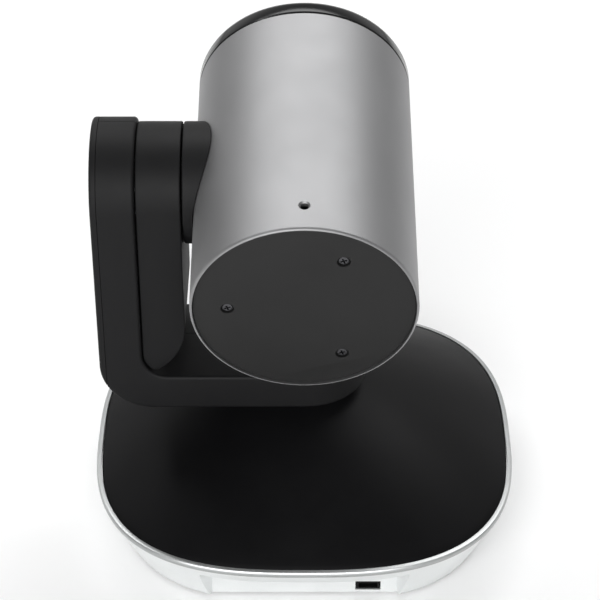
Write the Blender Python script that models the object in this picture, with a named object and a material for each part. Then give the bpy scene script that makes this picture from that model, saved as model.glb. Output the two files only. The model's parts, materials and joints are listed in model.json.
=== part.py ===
"""Pan-tilt-zoom conference camera: a squircle base, an L-shaped pan arm and a tilting barrel head.

Frame: +Z up, the lens looks towards -Y, the arm stands on the +X side, and the origin is the centre of
the resting face. The head is stored tilted lens-up by REST_TILT.
"""

import math

import bmesh
import bpy
from mathutils import Matrix, Vector

MM = 0.001
GAP = 0.3 * MM  # clearance between pieces that touch or pass through each other
WALL = 1.6 * MM  # moulded wall
ROUND_LARGE = 48  # sides of the barrel and its rings
ROUND_MEDIUM = 24
ROUND_SMALL = 12

# Base: a rounded square that tapers down to its foot and carries a domed cover.
BASE_HALF = 65.0 * MM
BASE_POWER = 2.78  # superellipse exponent of the plan
PLAN_POINTS = 56
FOOT_HALF = BASE_HALF - 8.2 * MM  # the bowl tapers in to this at its foot
BOWL_BOTTOM = 0.8 * MM
BOWL_TOP = 17.6 * MM
BOWL_TOP_HALF = BASE_HALF - 1.6 * MM  # the band overhangs the bowl
BOWL_SWELL = 0.5 * MM
BOWL_WALL = 1.8 * MM
BAND_TOP = 20.0 * MM
BAND_WIDTH = 1.5 * MM
BAND_UNDERCUT = 0.9 * MM
BAND_EASE = 0.5 * MM
DOME_RISE = 24.4 * MM
DOME_POWER = 1.8  # higher is flatter at the crown
DOME_WALL = 2.0 * MM
DOME_HOLE_RADIUS = 15.0 * MM
DOME_REACHES = (0.38, 0.55, 0.7, 0.82, 0.92, 1.0)  # shares of the half width where the dome has a ring
PLATE_THICKNESS = 2.4 * MM
FOOT_RADIUS = 6.0 * MM
FOOT_HEIGHT = 1.9 * MM
FOOT_EASE = 0.4 * MM
FOOT_PLACE = BASE_HALF - 32.0 * MM
PLATE_SCREW_X = BASE_HALF - 20.0 * MM
PLATE_SCREW_Y = 15.0 * MM
PLATE_SCREW_HEAD = 2.0 * MM
PLATE_SCREW_SHANK = 1.1 * MM
PLATE_SCREW_LENGTH = 6.5 * MM
PLATE_SCREW_DEPTH = 1.4 * MM
INSERT_RADIUS = 6.5 * MM
INSERT_BORE = 3.17 * MM  # quarter-inch tripod thread
INSERT_HEIGHT = 9.0 * MM

# Connector bay at the back of the base.
BAY_PANEL_Y = BASE_HALF - 12.8 * MM
BAY_HALF_WIDTH = 27.8 * MM
BAY_SPLAY = math.radians(27.0)
BAY_HEIGHT = 14.0 * MM
PORT_Z = 10.8 * MM
PORT_DEPTH = 9.5 * MM
PORT_SET_BACK = 0.2 * MM
PORTS = {  # centre X, half width, half height, centre Z
    "power_jack": (17.0 * MM, 4.6 * MM, 3.9 * MM, PORT_Z),
    "usb_port": (3.5 * MM, 4.8 * MM, 2.6 * MM, PORT_Z),
    "hub_port": (-10.5 * MM, 5.2 * MM, 3.9 * MM, PORT_Z),
    "lock_plate": (-19.2 * MM, 3.6 * MM, 1.5 * MM, 3.4 * MM),
}
ROUND_SOCKETS = {"power_jack": 3.1 * MM, "hub_port": 3.4 * MM}  # radius
SOCKET_DEPTH = 8.0 * MM
SLOTS = {"usb_port": (4.2 * MM, 1.6 * MM), "lock_plate": (2.8 * MM, 0.8 * MM)}  # half width, half height
WINDOW_RADIUS = 3.2 * MM
WINDOW_Z = 11.0 * MM
WINDOW_THICKNESS = 1.8 * MM
WINDOW_SET_BACK = 0.4 * MM
BOARD_Z = 5.2 * MM
BOARD_THICKNESS = 1.6 * MM
BOARD_HALF_WIDTH = 35.0 * MM
BOARD_FRONT_Y = 17.0 * MM

# Pan drive.
SHAFT_RADIUS = 7.0 * MM
SHAFT_BORE = 4.0 * MM
HUB_RADIUS = 12.5 * MM
BEARING_RADIUS = 11.0 * MM
CHASSIS_Z = 14.0 * MM
CHASSIS_THICKNESS = 2.0 * MM
BEARING_SHARE = 0.35  # of the hub's height, for each of its two bearings
PAN_MODULE = 1.0 * MM
PAN_TEETH = 48
PAN_PINION_TEETH = 12
PAN_GEAR_THICKNESS = 4.0 * MM
PAN_PINION_OVERLAP = 0.4 * MM  # the pinion stands this far past each face of the gear
PAN_DISTANCE = PAN_MODULE * (PAN_TEETH + PAN_PINION_TEETH) / 2
CHASSIS_RADIUS = PAN_DISTANCE + 8.0 * MM
HUB_CLEARANCE = 1.2 * MM  # between the hub and the gear above it
PAN_MOTOR_ANGLE = math.radians(225.0)
PAN_MOTOR_RADIUS = 9.0 * MM
PAN_MOTOR_BOTTOM = 9.0 * MM
PAN_MOTOR_TOP_GAP = 1.5 * MM
MOTOR_BOSS_RADIUS = 4.0 * MM

# Pan arm: an L-shaped band, an inner tower beside it and a cap on its outer face.
ARM_BOTTOM = BAND_TOP + DOME_RISE + 1.1 * MM  # just above the dome's crown
PAN_GEAR_Z = ARM_BOTTOM - 18.0 * MM  # under the dome
BAR_HEIGHT = 11.7 * MM
BARREL_RADIUS = 31.8 * MM
TOWER_INNER_X = BARREL_RADIUS + 3.5 * MM
BAND_INNER_X = TOWER_INNER_X + 13.1 * MM
ARM_OUTER_X = BAND_INNER_X + 12.8 * MM
ARM_RADIUS = 19.1 * MM  # half the arm's depth, and its round ends
TOWER_RADIUS = ARM_RADIUS - 1.3 * MM
TOWER_FOOT_RISE = 17.0 * MM  # height above the bar where the tower's lower end begins to curve
TOWER_FOOT_ANGLE = 238.0  # degrees, where that curve meets the inner corner
TOWER_CORNER_ANGLE = -52.0  # degrees, where the corner takes over from it
ARM_OUTER_CORNER = 15.5 * MM
ARM_INNER_CORNER = 7.5 * MM
SIDE_CAP_THICKNESS = 1.9 * MM
SEAM_Y = -3.0 * MM
TOWER_HOLLOW_BOTTOM = ARM_BOTTOM + 26.5 * MM
FRAME_THICKNESS = 2.0 * MM
FRAME_HALF_WIDTH = 0.74 * (ARM_RADIUS - WALL)  # shares of the arm's hollow that clear its round end
FRAME_END_X = -0.64 * (ARM_RADIUS - WALL)
FRAME_PLATE_X = BAND_INNER_X + 3.6 * MM
FRAME_TOP_SHARE = 0.55  # of the arm's radius, above the tilt axis
FRAME_LIFT = 1.5 * MM
FRAME_SLOPE = 6.0 * MM
FRAME_BEND = 0.8 * MM
COLLAR_DROP = 3.0 * MM
COLLAR_CLEARANCE = 0.6 * MM
FLANGE_RADIUS = 12.0 * MM
FLANGE_THICKNESS = 0.9 * MM
SHAFT_SCREW_CIRCLE = 9.5 * MM
SHAFT_SCREW_HEAD = 1.8 * MM
SHAFT_SCREW_SHANK = 0.9 * MM
SHAFT_SCREW_LENGTH = 3.4 * MM

# Tilt drive.
TILT_Z = 114.2 * MM
REST_TILT = math.radians(-11.1)  # negative looks up
TILT_SHAFT_RADIUS = 4.0 * MM
TILT_HUB_RADIUS = 8.0 * MM
TILT_BEARING_RADIUS = 6.4 * MM
TILT_MODULE = 0.7 * MM
TILT_TEETH = 35
TILT_PINION_TEETH = 9
TILT_GEAR_THICKNESS = 2.8 * MM
TILT_MOTOR_RADIUS = 7.0 * MM
TILT_MOTOR_LENGTH = 10.0 * MM
TILT_MOTOR_BOSS = 3.0 * MM
TILT_BEARING_REACH = 6.0 * MM  # how far the bearing stands in from the frame plate
TILT_DISTANCE = TILT_MODULE * (TILT_TEETH + TILT_PINION_TEETH) / 2
TILT_GEAR_X = FRAME_PLATE_X + FRAME_THICKNESS + 0.8 * MM
TILT_FLANGE_RADIUS = 8.5 * MM
TILT_FLANGE_THICKNESS = 1.9 * MM
TILT_FLANGE_INSET = 4.0 * MM  # from the barrel's bore
BOSS_CLEARANCE = 0.45 * MM

# Head: positions along its own Y, with the lens at -Y.
BARREL_WALL = 1.6 * MM
BARREL_REAR = 51.0 * MM
BARREL_FRONT = -38.4 * MM
BARREL_LIP = 0.7 * MM
CAP_THICKNESS = 2.1 * MM
CAP_RECESS = 0.6 * MM
CAP_SCREW_CIRCLE = BARREL_RADIUS - 10.5 * MM
CAP_SCREW_HEAD = 1.9 * MM
CAP_SCREW_SHANK = 1.0 * MM
CAP_SCREW_LENGTH = 6.5 * MM
CAP_POCKET_DEPTH = 1.3 * MM
BULKHEAD_Y = 36.0 * MM
BULKHEAD_THICKNESS = 2.0 * MM
BULKHEAD_HOLE = 8.0 * MM
POST_RADIUS = 3.2 * MM
PIN_HOLE_RADIUS = 1.2 * MM
PIN_HOLE_INSET = 9.0 * MM
BEZEL_LENGTH = 5.6 * MM
BEZEL_OPENING = 20.5 * MM
BEZEL_PLUG_LENGTH = 3.5 * MM
BEZEL_PLUG_WALL = 1.7 * MM
LENS_RADIUS = 17.0 * MM
LENS_TUBE_RADIUS = LENS_RADIUS
LENS_MOUTH_RADIUS = LENS_RADIUS + 2.5 * MM
LENS_SEAT_DEPTH = 4.0 * MM
LENS_BULGE = 3.2 * MM
LENS_RING_WIDTH = 2.0 * MM
LENS_RING_DEPTH = 2.6 * MM
LENS_BORE = 14.3 * MM
LENS_TUBE_REAR = 20.0 * MM
LENS_TUBE_FRONT = -37.0 * MM
GUIDE_ROD_RADIUS = 0.8 * MM
GUIDE_ROD_PLACE = 11.3 * MM
CARRIER_THICKNESS = 4.5 * MM
CARRIER_BORE = 9.0 * MM
CARRIER_CLEARANCE = 0.5 * MM
INNER_LENS_HALVES = (0.5 * MM, 1.1 * MM, 1.6 * MM)  # half thickness at the rim, part way in and at the centre
ZOOM_PLACE = -9.0 * MM
FOCUS_PLACE = 9.0 * MM
SHOULDER_Y = BARREL_REAR - CAP_RECESS - CAP_THICKNESS - GAP  # where the bore steps out for the cap
SENSOR_HALF = (5.0 * MM, 4.0 * MM)
SENSOR_THICKNESS = 1.3 * MM
SENSOR_BOARD_HALF = 17.0 * MM
HEAD_FRAME_WALL = 1.8 * MM
HEAD_FRAME_HALF = 16.0 * MM
HEAD_FRAME_DROP = 6.2 * MM  # from the barrel's bore up to the frame's floor
PAST = 20.0 * MM  # how far a cutter runs on past the piece it cuts

TURN_FOR_X = Matrix.Rotation(math.radians(90.0), 4, "Y")
TURN_FOR_Y = Matrix.Rotation(math.radians(-90.0), 4, "X")

for old in list(bpy.data.objects):
    bpy.data.objects.remove(old, do_unlink=True)

parts = bpy.data.collections.new("ptz_camera")
cutters = bpy.data.collections.new("cutters")
bpy.context.scene.collection.children.link(parts)
bpy.context.scene.collection.children.link(cutters)


def material(name, colour, roughness, metallic=0.0):
    made = bpy.data.materials.new(name)
    made.use_nodes = True
    shader = made.node_tree.nodes["Principled BSDF"]
    shader.inputs["Base Color"].default_value = (*colour, 1.0)
    shader.inputs["Roughness"].default_value = roughness
    shader.inputs["Metallic"].default_value = metallic
    return made


SILVER_PLASTIC = ((0.76, 0.78, 0.78), 0.38, 0.3)
BRUSHED_METAL = ((0.45, 0.45, 0.46), 0.36, 1.0)
STEEL = ((0.55, 0.55, 0.57), 0.3, 1.0)
BRASS = ((0.70, 0.52, 0.22), 0.3, 1.0)
CHARCOAL = ((0.024, 0.024, 0.025), 0.5)
SATIN_BLACK = ((0.010, 0.010, 0.011), 0.42)
GLOSS_BLACK = ((0.006, 0.006, 0.007), 0.08)
MATTE_GREY = ((0.033, 0.034, 0.036), 0.62)
RUBBER = ((0.02, 0.02, 0.02), 0.85)
BOARD_GREEN = ((0.02, 0.12, 0.05), 0.5)
GEAR_WHITE = ((0.72, 0.70, 0.64), 0.5)
LENS_GLASS = ((0.05, 0.06, 0.09), 0.03)


def empty(name, location, parent=None, turn_x=0.0):
    made = bpy.data.objects.new(name, None)
    made.location = location
    made.rotation_euler = (turn_x, 0.0, 0.0)
    made.parent = parent
    parts.objects.link(made)
    return made


pan_axis = empty("pan_axis", (0.0, 0.0, 0.0))
tilt_axis = empty("tilt_axis", (0.0, 0.0, TILT_Z), pan_axis, REST_TILT)


def place(name, bm, finish=None, parent=None, location=(0.0, 0.0, 0.0), smooth=True):
    """Make an object of bm. Without a finish it is a cutter."""
    mesh = bpy.data.meshes.new(name)
    bmesh.ops.recalc_face_normals(bm, faces=bm.faces)
    bm.to_mesh(mesh)
    bm.free()
    made = bpy.data.objects.new(name, mesh)
    made.location = location
    made.parent = parent
    if finish:
        mesh.materials.append(material(name, *finish))
        if smooth:
            mesh.shade_smooth()
            mesh.set_sharp_from_angle(angle=math.radians(35.0))
        parts.objects.link(made)
    else:
        made.hide_render = True
        made.display_type = "WIRE"
        cutters.objects.link(made)
    return made


def combine(target, operation, bm, label, location=(0.0, 0.0, 0.0), parent=None):
    """Cut, join or intersect target with the shape in bm."""
    tool = place(f"cutter_{target.name}_{label}", bm, None, parent, location)
    step = target.modifiers.new(label, "BOOLEAN")
    step.operation = operation
    step.solver = "EXACT"
    step.object = tool


def box(low, high):
    bm = bmesh.new()
    bmesh.ops.create_cube(bm, size=1.0)
    size = Vector(high) - Vector(low)
    middle = (Vector(high) + Vector(low)) / 2
    bmesh.ops.scale(bm, vec=size, verts=bm.verts)
    bmesh.ops.translate(bm, vec=middle, verts=bm.verts)
    return bm


def turned(profile, sides, turn=None):
    """Spin a closed outline of (radius, height) points about Z, then turn it to lie along another axis."""
    bm = bmesh.new()
    ring = [bm.verts.new((r, 0.0, z)) for r, z in profile]
    edges = [bm.edges.new((a, b)) for a, b in zip(ring, ring[1:] + ring[:1])]
    bmesh.ops.spin(bm, geom=ring + edges, cent=(0, 0, 0), axis=(0, 0, 1), angle=math.tau,
                   steps=sides, use_merge=True)
    bmesh.ops.remove_doubles(bm, verts=bm.verts, dist=1e-7)
    if turn:
        bmesh.ops.transform(bm, matrix=turn, verts=bm.verts)
    return bm


def rod(radius, low, high, sides, turn=None, centre=(0.0, 0.0)):
    """A solid cylinder from low to high along Z, or along the axis that turn gives."""
    bm = bmesh.new()
    bmesh.ops.create_cone(bm, cap_ends=True, segments=sides, radius1=radius, radius2=radius,
                          depth=high - low)
    bmesh.ops.translate(bm, vec=(centre[0], centre[1], (low + high) / 2), verts=bm.verts)
    if turn:
        bmesh.ops.transform(bm, matrix=turn, verts=bm.verts)
    return bm


def ring(inner, outer, low, high, sides, turn=None):
    return turned([(inner, low), (outer, low), (outer, high), (inner, high)], sides, turn)


def extruded(outline, low, high, turn=None):
    """Extrude a flat (x, y) outline from low to high along Z."""
    bm = bmesh.new()
    face = bm.faces.new([bm.verts.new((x, y, low)) for x, y in outline])
    grown = bmesh.ops.extrude_face_region(bm, geom=[face])
    new_verts = [v for v in grown["geom"] if isinstance(v, bmesh.types.BMVert)]
    bmesh.ops.translate(bm, vec=(0.0, 0.0, high - low), verts=new_verts)
    if turn:
        bmesh.ops.transform(bm, matrix=turn, verts=bm.verts)
    return bm


def arc(centre, radius, start, end, steps):
    """Points on an arc, with its angles in degrees."""
    angles = [math.radians(start + (end - start) * i / steps) for i in range(steps + 1)]
    return [(centre[0] + radius * math.cos(a), centre[1] + radius * math.sin(a)) for a in angles]


def squircle(half, power=BASE_POWER):
    """Plan outline of the base: a superellipse of the given half width."""
    points = []
    for i in range(PLAN_POINTS):
        a = math.tau * i / PLAN_POINTS
        c, s = math.cos(a), math.sin(a)
        reach = half / (abs(c) ** power + abs(s) ** power) ** (1 / power)
        points.append((reach * c, reach * s))
    return points


def lofted(levels, closed):
    """Skin rings of (half, power, z). Closed joins the last ring to the first; else the ends are capped."""
    bm = bmesh.new()
    rings = [[bm.verts.new((x, y, z)) for x, y in squircle(half, power)] for half, power, z in levels]
    pairs = list(zip(rings, rings[1:]))
    if closed:
        pairs.append((rings[-1], rings[0]))
    for lower, upper in pairs:
        for i in range(PLAN_POINTS):
            j = (i + 1) % PLAN_POINTS
            bm.faces.new((lower[i], lower[j], upper[j], upper[i]))
    if not closed:
        bm.faces.new(rings[0][::-1])
        bm.faces.new(rings[-1])
    return bm


def stadium(radius, top, bottom):
    """Outline with straight sides from bottom up to a round top centred at height top."""
    return [(-radius, bottom), (radius, bottom)] + arc((0.0, top), radius, 0.0, 180.0, 20)


UPRIGHT_TO_X = Matrix(((0, 0, 1, 0), (1, 0, 0, 0), (0, 1, 0, 0), (0, 0, 0, 1)))  # outline in Y and Z
UPRIGHT_TO_Y = Matrix(((1, 0, 0, 0), (0, 0, -1, 0), (0, 1, 0, 0), (0, 0, 0, 1)))  # outline in X and Z


def gear_outline(teeth, module, turn=0.0):
    """Spur gear outline with straight-sided teeth, relieved enough to run with backlash."""
    pitch = teeth * module / 2
    tip = pitch + 0.8 * module
    root = pitch - 1.05 * module
    step = math.tau / teeth
    half_tip = 0.10 * step
    half_root = 0.29 * step
    points = []
    for i in range(teeth):
        a = turn + i * step
        for radius, angle in ((root, a - half_root), (tip, a - half_tip),
                              (tip, a + half_tip), (root, a + half_root)):
            points.append((radius * math.cos(angle), radius * math.sin(angle)))
    return points


def screw(name, finish, head, shank, length, turn=None, parent=None, location=(0.0, 0.0, 0.0)):
    """Pan-head screw whose head lies above the origin and whose shank runs down from it."""
    head_height = 0.55 * head
    profile = [(0.0, head_height), (0.7 * head, head_height), (head, 0.5 * head_height), (head, 0.0),
               (shank, 0.0), (shank, -length), (0.0, -length)]
    bm = turned(profile, ROUND_SMALL, turn)
    return place(name, bm, finish, parent, location)


# Base -------------------------------------------------------------------------------------------------

def bowl_half(z):
    """Half width of the bowl's outside at height z, swelling slightly between foot and top."""
    t = (z - BOWL_BOTTOM) / (BOWL_TOP - BOWL_BOTTOM)
    return FOOT_HALF + (BOWL_TOP_HALF - FOOT_HALF) * t + BOWL_SWELL * math.sin(math.pi * t)


def bay_outline(extra):
    """Plan of the connector bay, splayed towards the back and grown by extra on its closed sides."""
    half = BAY_HALF_WIDTH + extra
    back = BAY_PANEL_Y - extra
    spread = PAST * math.tan(BAY_SPLAY)
    return [(-half, back), (half, back), (half + spread, back + PAST), (-half - spread, back + PAST)]


def make_bowl():
    heights = [BOWL_BOTTOM + (BOWL_TOP - BOWL_BOTTOM) * i / 3 for i in range(4)]
    outer = [(bowl_half(z), BASE_POWER, z) for z in heights]
    bowl = place("base_bowl", lofted(outer, False), SILVER_PLASTIC)
    inner = [(FOOT_HALF - BOWL_WALL, BASE_POWER, BOWL_BOTTOM - 2 * MM),
             (BOWL_TOP_HALF - BOWL_WALL, BASE_POWER, BOWL_TOP + 2 * MM)]
    hollow = place("cutter_bowl_hollow", lofted(inner, False))
    combine(hollow, "DIFFERENCE", extruded(bay_outline(BOWL_WALL), -PAST, BAY_HEIGHT + BOWL_WALL), "bay_wall")
    step = bowl.modifiers.new("hollow", "BOOLEAN")
    step.operation = "DIFFERENCE"
    step.object = hollow
    combine(bowl, "DIFFERENCE", extruded(bay_outline(0.0), -PAST, BAY_HEIGHT), "bay")
    for name, (x, half_width, half_height, port) in PORTS.items():
        cut = box((x - half_width - GAP, BAY_PANEL_Y - 2 * BOWL_WALL, port - half_height - GAP),
                  (x + half_width + GAP, BAY_PANEL_Y + MM, port + half_height + GAP))
        combine(bowl, "DIFFERENCE", cut, name)
    window = rod(WINDOW_RADIUS + GAP, 0.0, PAST, ROUND_MEDIUM, TURN_FOR_Y)
    combine(bowl, "DIFFERENCE", window, "window", (0.0, -BASE_HALF - 5 * MM, WINDOW_Z))


def make_rim_band():
    band_low = BOWL_TOP + GAP
    lip = BASE_HALF - BAND_WIDTH
    band = [(BASE_HALF - BAND_UNDERCUT, BASE_POWER, band_low),
            (BASE_HALF, BASE_POWER, band_low + BAND_UNDERCUT),
            (BASE_HALF, BASE_POWER, BAND_TOP - BAND_EASE), (BASE_HALF - BAND_EASE, BASE_POWER, BAND_TOP),
            (lip, BASE_POWER, BAND_TOP), (lip, BASE_POWER, band_low)]
    place("rim_band", lofted(band, True), SILVER_PLASTIC)


def make_dome():
    cover_half = BASE_HALF - BAND_WIDTH - GAP
    reaches = [DOME_HOLE_RADIUS / cover_half, *DOME_REACHES]

    def dome(reach, drop, shrink):
        power = 2.0 + (BASE_POWER - 2.0) * (reach - reaches[0]) / (1.0 - reaches[0])
        height = BAND_TOP + DOME_RISE * (1.0 - reach ** DOME_POWER)
        return (cover_half * reach - shrink, power, height - drop)

    outside = [dome(reach, 0.0, 0.0) for reach in reaches]
    inside = [dome(reach, DOME_WALL, DOME_WALL * 0.5 * (reach > 0.9)) for reach in reaches[::-1]]
    place("base_top_cover", lofted(outside + inside, True), SATIN_BLACK)


def make_bottom():
    plate_low = BOWL_BOTTOM
    plate_high = plate_low + PLATE_THICKNESS
    half = FOOT_HALF - BOWL_WALL - GAP
    slab = lofted([(half, BASE_POWER, plate_low), (half, BASE_POWER, plate_high)], False)
    plate = place("base_bottom_plate", slab, MATTE_GREY)
    combine(plate, "DIFFERENCE", extruded(bay_outline(BOWL_WALL + GAP), -PAST, PAST), "bay")
    combine(plate, "DIFFERENCE", rod(INSERT_RADIUS + GAP, -PAST, PAST, ROUND_MEDIUM), "insert")
    foot_number = 0
    for sx in (1, -1):
        for sy in (1, -1):
            foot_number += 1
            spot = (sx * FOOT_PLACE, sy * FOOT_PLACE, 0.0)
            combine(plate, "DIFFERENCE", rod(FOOT_RADIUS + GAP, -MM, FOOT_HEIGHT + GAP, ROUND_SMALL),
                    f"foot_{foot_number}", spot)
            tread = turned([(0.0, 0.0), (FOOT_RADIUS - FOOT_EASE, 0.0), (FOOT_RADIUS, FOOT_EASE),
                            (FOOT_RADIUS, FOOT_HEIGHT), (0.0, FOOT_HEIGHT)], ROUND_SMALL)
            place(f"foot_{foot_number}", tread, RUBBER, None, spot)
            at = (sx * PLATE_SCREW_X, sy * PLATE_SCREW_Y, plate_low + PLATE_SCREW_DEPTH)
            combine(plate, "DIFFERENCE", rod(PLATE_SCREW_HEAD + GAP, -PAST, 0.0, ROUND_SMALL),
                    f"head_{foot_number}", at)
            combine(plate, "DIFFERENCE", rod(PLATE_SCREW_SHANK + GAP, -MM, PAST, ROUND_SMALL),
                    f"shank_{foot_number}", at)
            flip = Matrix.Rotation(math.pi, 4, "X")
            screw(f"plate_screw_{foot_number}", STEEL, PLATE_SCREW_HEAD, PLATE_SCREW_SHANK,
                  PLATE_SCREW_LENGTH, flip, None, (at[0], at[1], at[2] - GAP))

    insert = ring(INSERT_BORE, INSERT_RADIUS, plate_low, plate_low + INSERT_HEIGHT, ROUND_MEDIUM)
    place("tripod_insert", insert, BRASS)


def make_pan_drive():
    disc = rod(CHASSIS_RADIUS, CHASSIS_Z, CHASSIS_Z + CHASSIS_THICKNESS, ROUND_MEDIUM)
    chassis = place("base_chassis", disc, STEEL)
    hub_low = CHASSIS_Z + CHASSIS_THICKNESS / 2
    hub_top = PAN_GEAR_Z - HUB_CLEARANCE
    bearing_width = BEARING_SHARE * (hub_top - hub_low)
    combine(chassis, "UNION", rod(HUB_RADIUS, hub_low, hub_top, ROUND_MEDIUM), "hub")
    combine(chassis, "DIFFERENCE", rod(BEARING_RADIUS + GAP, 0.0, hub_top + PAST, ROUND_MEDIUM), "bore")
    for i, low in enumerate((hub_low, hub_top - bearing_width)):
        place(f"pan_bearing_{i + 1}",
              ring(SHAFT_RADIUS + GAP, BEARING_RADIUS, low, low + bearing_width, ROUND_MEDIUM), STEEL)

    spot = (PAN_DISTANCE * math.cos(PAN_MOTOR_ANGLE), PAN_DISTANCE * math.sin(PAN_MOTOR_ANGLE), 0.0)
    motor_hole = rod(PAN_MOTOR_RADIUS + GAP, 0.0, CHASSIS_Z + PAST, ROUND_MEDIUM)
    combine(chassis, "DIFFERENCE", motor_hole, "motor", spot)
    motor_top = PAN_GEAR_Z - PAN_MOTOR_TOP_GAP
    motor = turned([(0.0, PAN_MOTOR_BOTTOM), (PAN_MOTOR_RADIUS, PAN_MOTOR_BOTTOM),
                    (PAN_MOTOR_RADIUS, motor_top - MM), (MOTOR_BOSS_RADIUS, motor_top - MM),
                    (MOTOR_BOSS_RADIUS, motor_top), (0.0, motor_top)], ROUND_MEDIUM)
    place("pan_motor", motor, STEEL, None, spot)
    pinion_axis = empty("pan_pinion_axis", spot)
    mesh_turn = PAN_MOTOR_ANGLE + math.pi + math.pi / PAN_PINION_TEETH
    pinion = extruded(gear_outline(PAN_PINION_TEETH, PAN_MODULE, mesh_turn),
                      PAN_GEAR_Z - PAN_PINION_OVERLAP, PAN_GEAR_Z + PAN_GEAR_THICKNESS + PAN_PINION_OVERLAP)
    place("pan_pinion", pinion, BRASS, pinion_axis, (0.0, 0.0, 0.0), False)


def make_electronics():
    board = box((-BOARD_HALF_WIDTH, BOARD_FRONT_Y, BOARD_Z),
                (BOARD_HALF_WIDTH, BAY_PANEL_Y - BOWL_WALL - GAP, BOARD_Z + BOARD_THICKNESS))
    place("main_circuit_board", board, BOARD_GREEN, None, (0, 0, 0), False)
    face = BAY_PANEL_Y - PORT_SET_BACK
    for name, (x, half_width, half_height, port) in PORTS.items():
        depth = BOWL_WALL if name == "lock_plate" else PORT_DEPTH
        body = place(name, box((x - half_width, face - depth, port - half_height),
                               (x + half_width, face, port + half_height)),
                     STEEL if name == "lock_plate" else MATTE_GREY, None, (0, 0, 0), False)
        if name in ROUND_SOCKETS:
            socket = rod(ROUND_SOCKETS[name], -SOCKET_DEPTH, MM, ROUND_SMALL, TURN_FOR_Y)
            combine(body, "DIFFERENCE", socket, "socket", (x, face, port))
        else:
            slot_half, slot_rise = SLOTS[name]
            slot = box((x - slot_half, face - SOCKET_DEPTH, port - slot_rise),
                       (x + slot_half, face + MM, port + slot_rise))
            combine(body, "DIFFERENCE", slot, "slot")
    glass_front = bowl_half(WINDOW_Z) - WINDOW_SET_BACK
    window = rod(WINDOW_RADIUS, glass_front - WINDOW_THICKNESS, glass_front, ROUND_SMALL,
                 Matrix.Rotation(math.radians(90.0), 4, "X"))
    place("remote_window", window, GLOSS_BLACK, None, (0.0, 0.0, WINDOW_Z))


# Pan arm ----------------------------------------------------------------------------------------------

def arm_profile(inset, far_x):
    """L-shaped side outline in X and Z, shrunk by inset. far_x carries it out past the outer face."""
    low = ARM_BOTTOM + inset
    bar_top = ARM_BOTTOM + BAR_HEIGHT - inset
    inner_x = BAND_INNER_X + inset
    outer_x = ARM_OUTER_X - inset
    corner = ARM_OUTER_CORNER - inset
    fillet = ARM_INNER_CORNER + inset
    top = TILT_Z + ARM_RADIUS + PAST
    outline = [(-ARM_RADIUS - PAST, low)]
    outline += arc((outer_x - corner, low + corner), corner, -90.0, 0.0, 8)
    if far_x:
        outline.append((far_x, low + corner))
    outline += [(far_x or outer_x, top), (inner_x, top)]
    outline += arc((inner_x - fillet, bar_top + fillet), fillet, 0.0, -90.0, 6)
    outline.append((-ARM_RADIUS - PAST, bar_top))
    return outline


def arm_solid(name, inset, far_x, finish=None):
    """The L band: its side outline, rounded over the tilt axis and around the pan axis."""
    depth = ARM_RADIUS + PAST
    far = ARM_OUTER_X + 2 * PAST
    made = place(name, extruded(arm_profile(inset, far_x), -depth, depth, UPRIGHT_TO_Y), finish)
    radius = ARM_RADIUS - inset
    combine(made, "INTERSECT", extruded(stadium(radius, TILT_Z, -PAST), -far, far, UPRIGHT_TO_X), "top")
    end = [(far, radius + MM), (0.0, radius + MM)] + arc((0.0, 0.0), radius, 90.0, 270.0, 20)
    end += [(0.0, -radius - MM), (far, -radius - MM)]
    combine(made, "INTERSECT", extruded(end, 0.0, TILT_Z + ARM_RADIUS + 2 * PAST), "end")
    return made


def make_arm():
    far = ARM_OUTER_X + PAST
    high = TILT_Z + ARM_RADIUS + PAST
    hollow = arm_solid("cutter_arm_hollow", WALL, far)
    cap_inner = ARM_OUTER_X - SIDE_CAP_THICKNESS
    for name, low_y, high_y in (("arm_rear_shell", SEAM_Y + GAP / 2, far),
                                ("arm_front_shell", -far, SEAM_Y - GAP / 2)):
        shell = arm_solid(name, 0.0, 0.0, CHARCOAL)
        shell.parent = pan_axis
        step = shell.modifiers.new("hollow", "BOOLEAN")
        step.operation = "DIFFERENCE"
        step.object = hollow
        combine(shell, "INTERSECT", box((-far, low_y, 0.0), (cap_inner - GAP, high_y, high)), "half")
        opening = extruded(stadium(TOWER_RADIUS - 2 * WALL, TILT_Z, TOWER_HOLLOW_BOTTOM), TOWER_INNER_X,
                           BAND_INNER_X + 2 * WALL - MM, UPRIGHT_TO_X)
        combine(shell, "DIFFERENCE", opening, "tower_opening")
        shaft_hole = rod(SHAFT_RADIUS + 2 * GAP, 0.0, ARM_BOTTOM + 2 * WALL, ROUND_MEDIUM)
        combine(shell, "DIFFERENCE", shaft_hole, "shaft")
    cap = arm_solid("arm_side_cap", 0.0, 0.0, CHARCOAL)
    cap.parent = pan_axis
    combine(cap, "INTERSECT", box((cap_inner, -far, 0.0), (far, far, high)), "slice")


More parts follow.
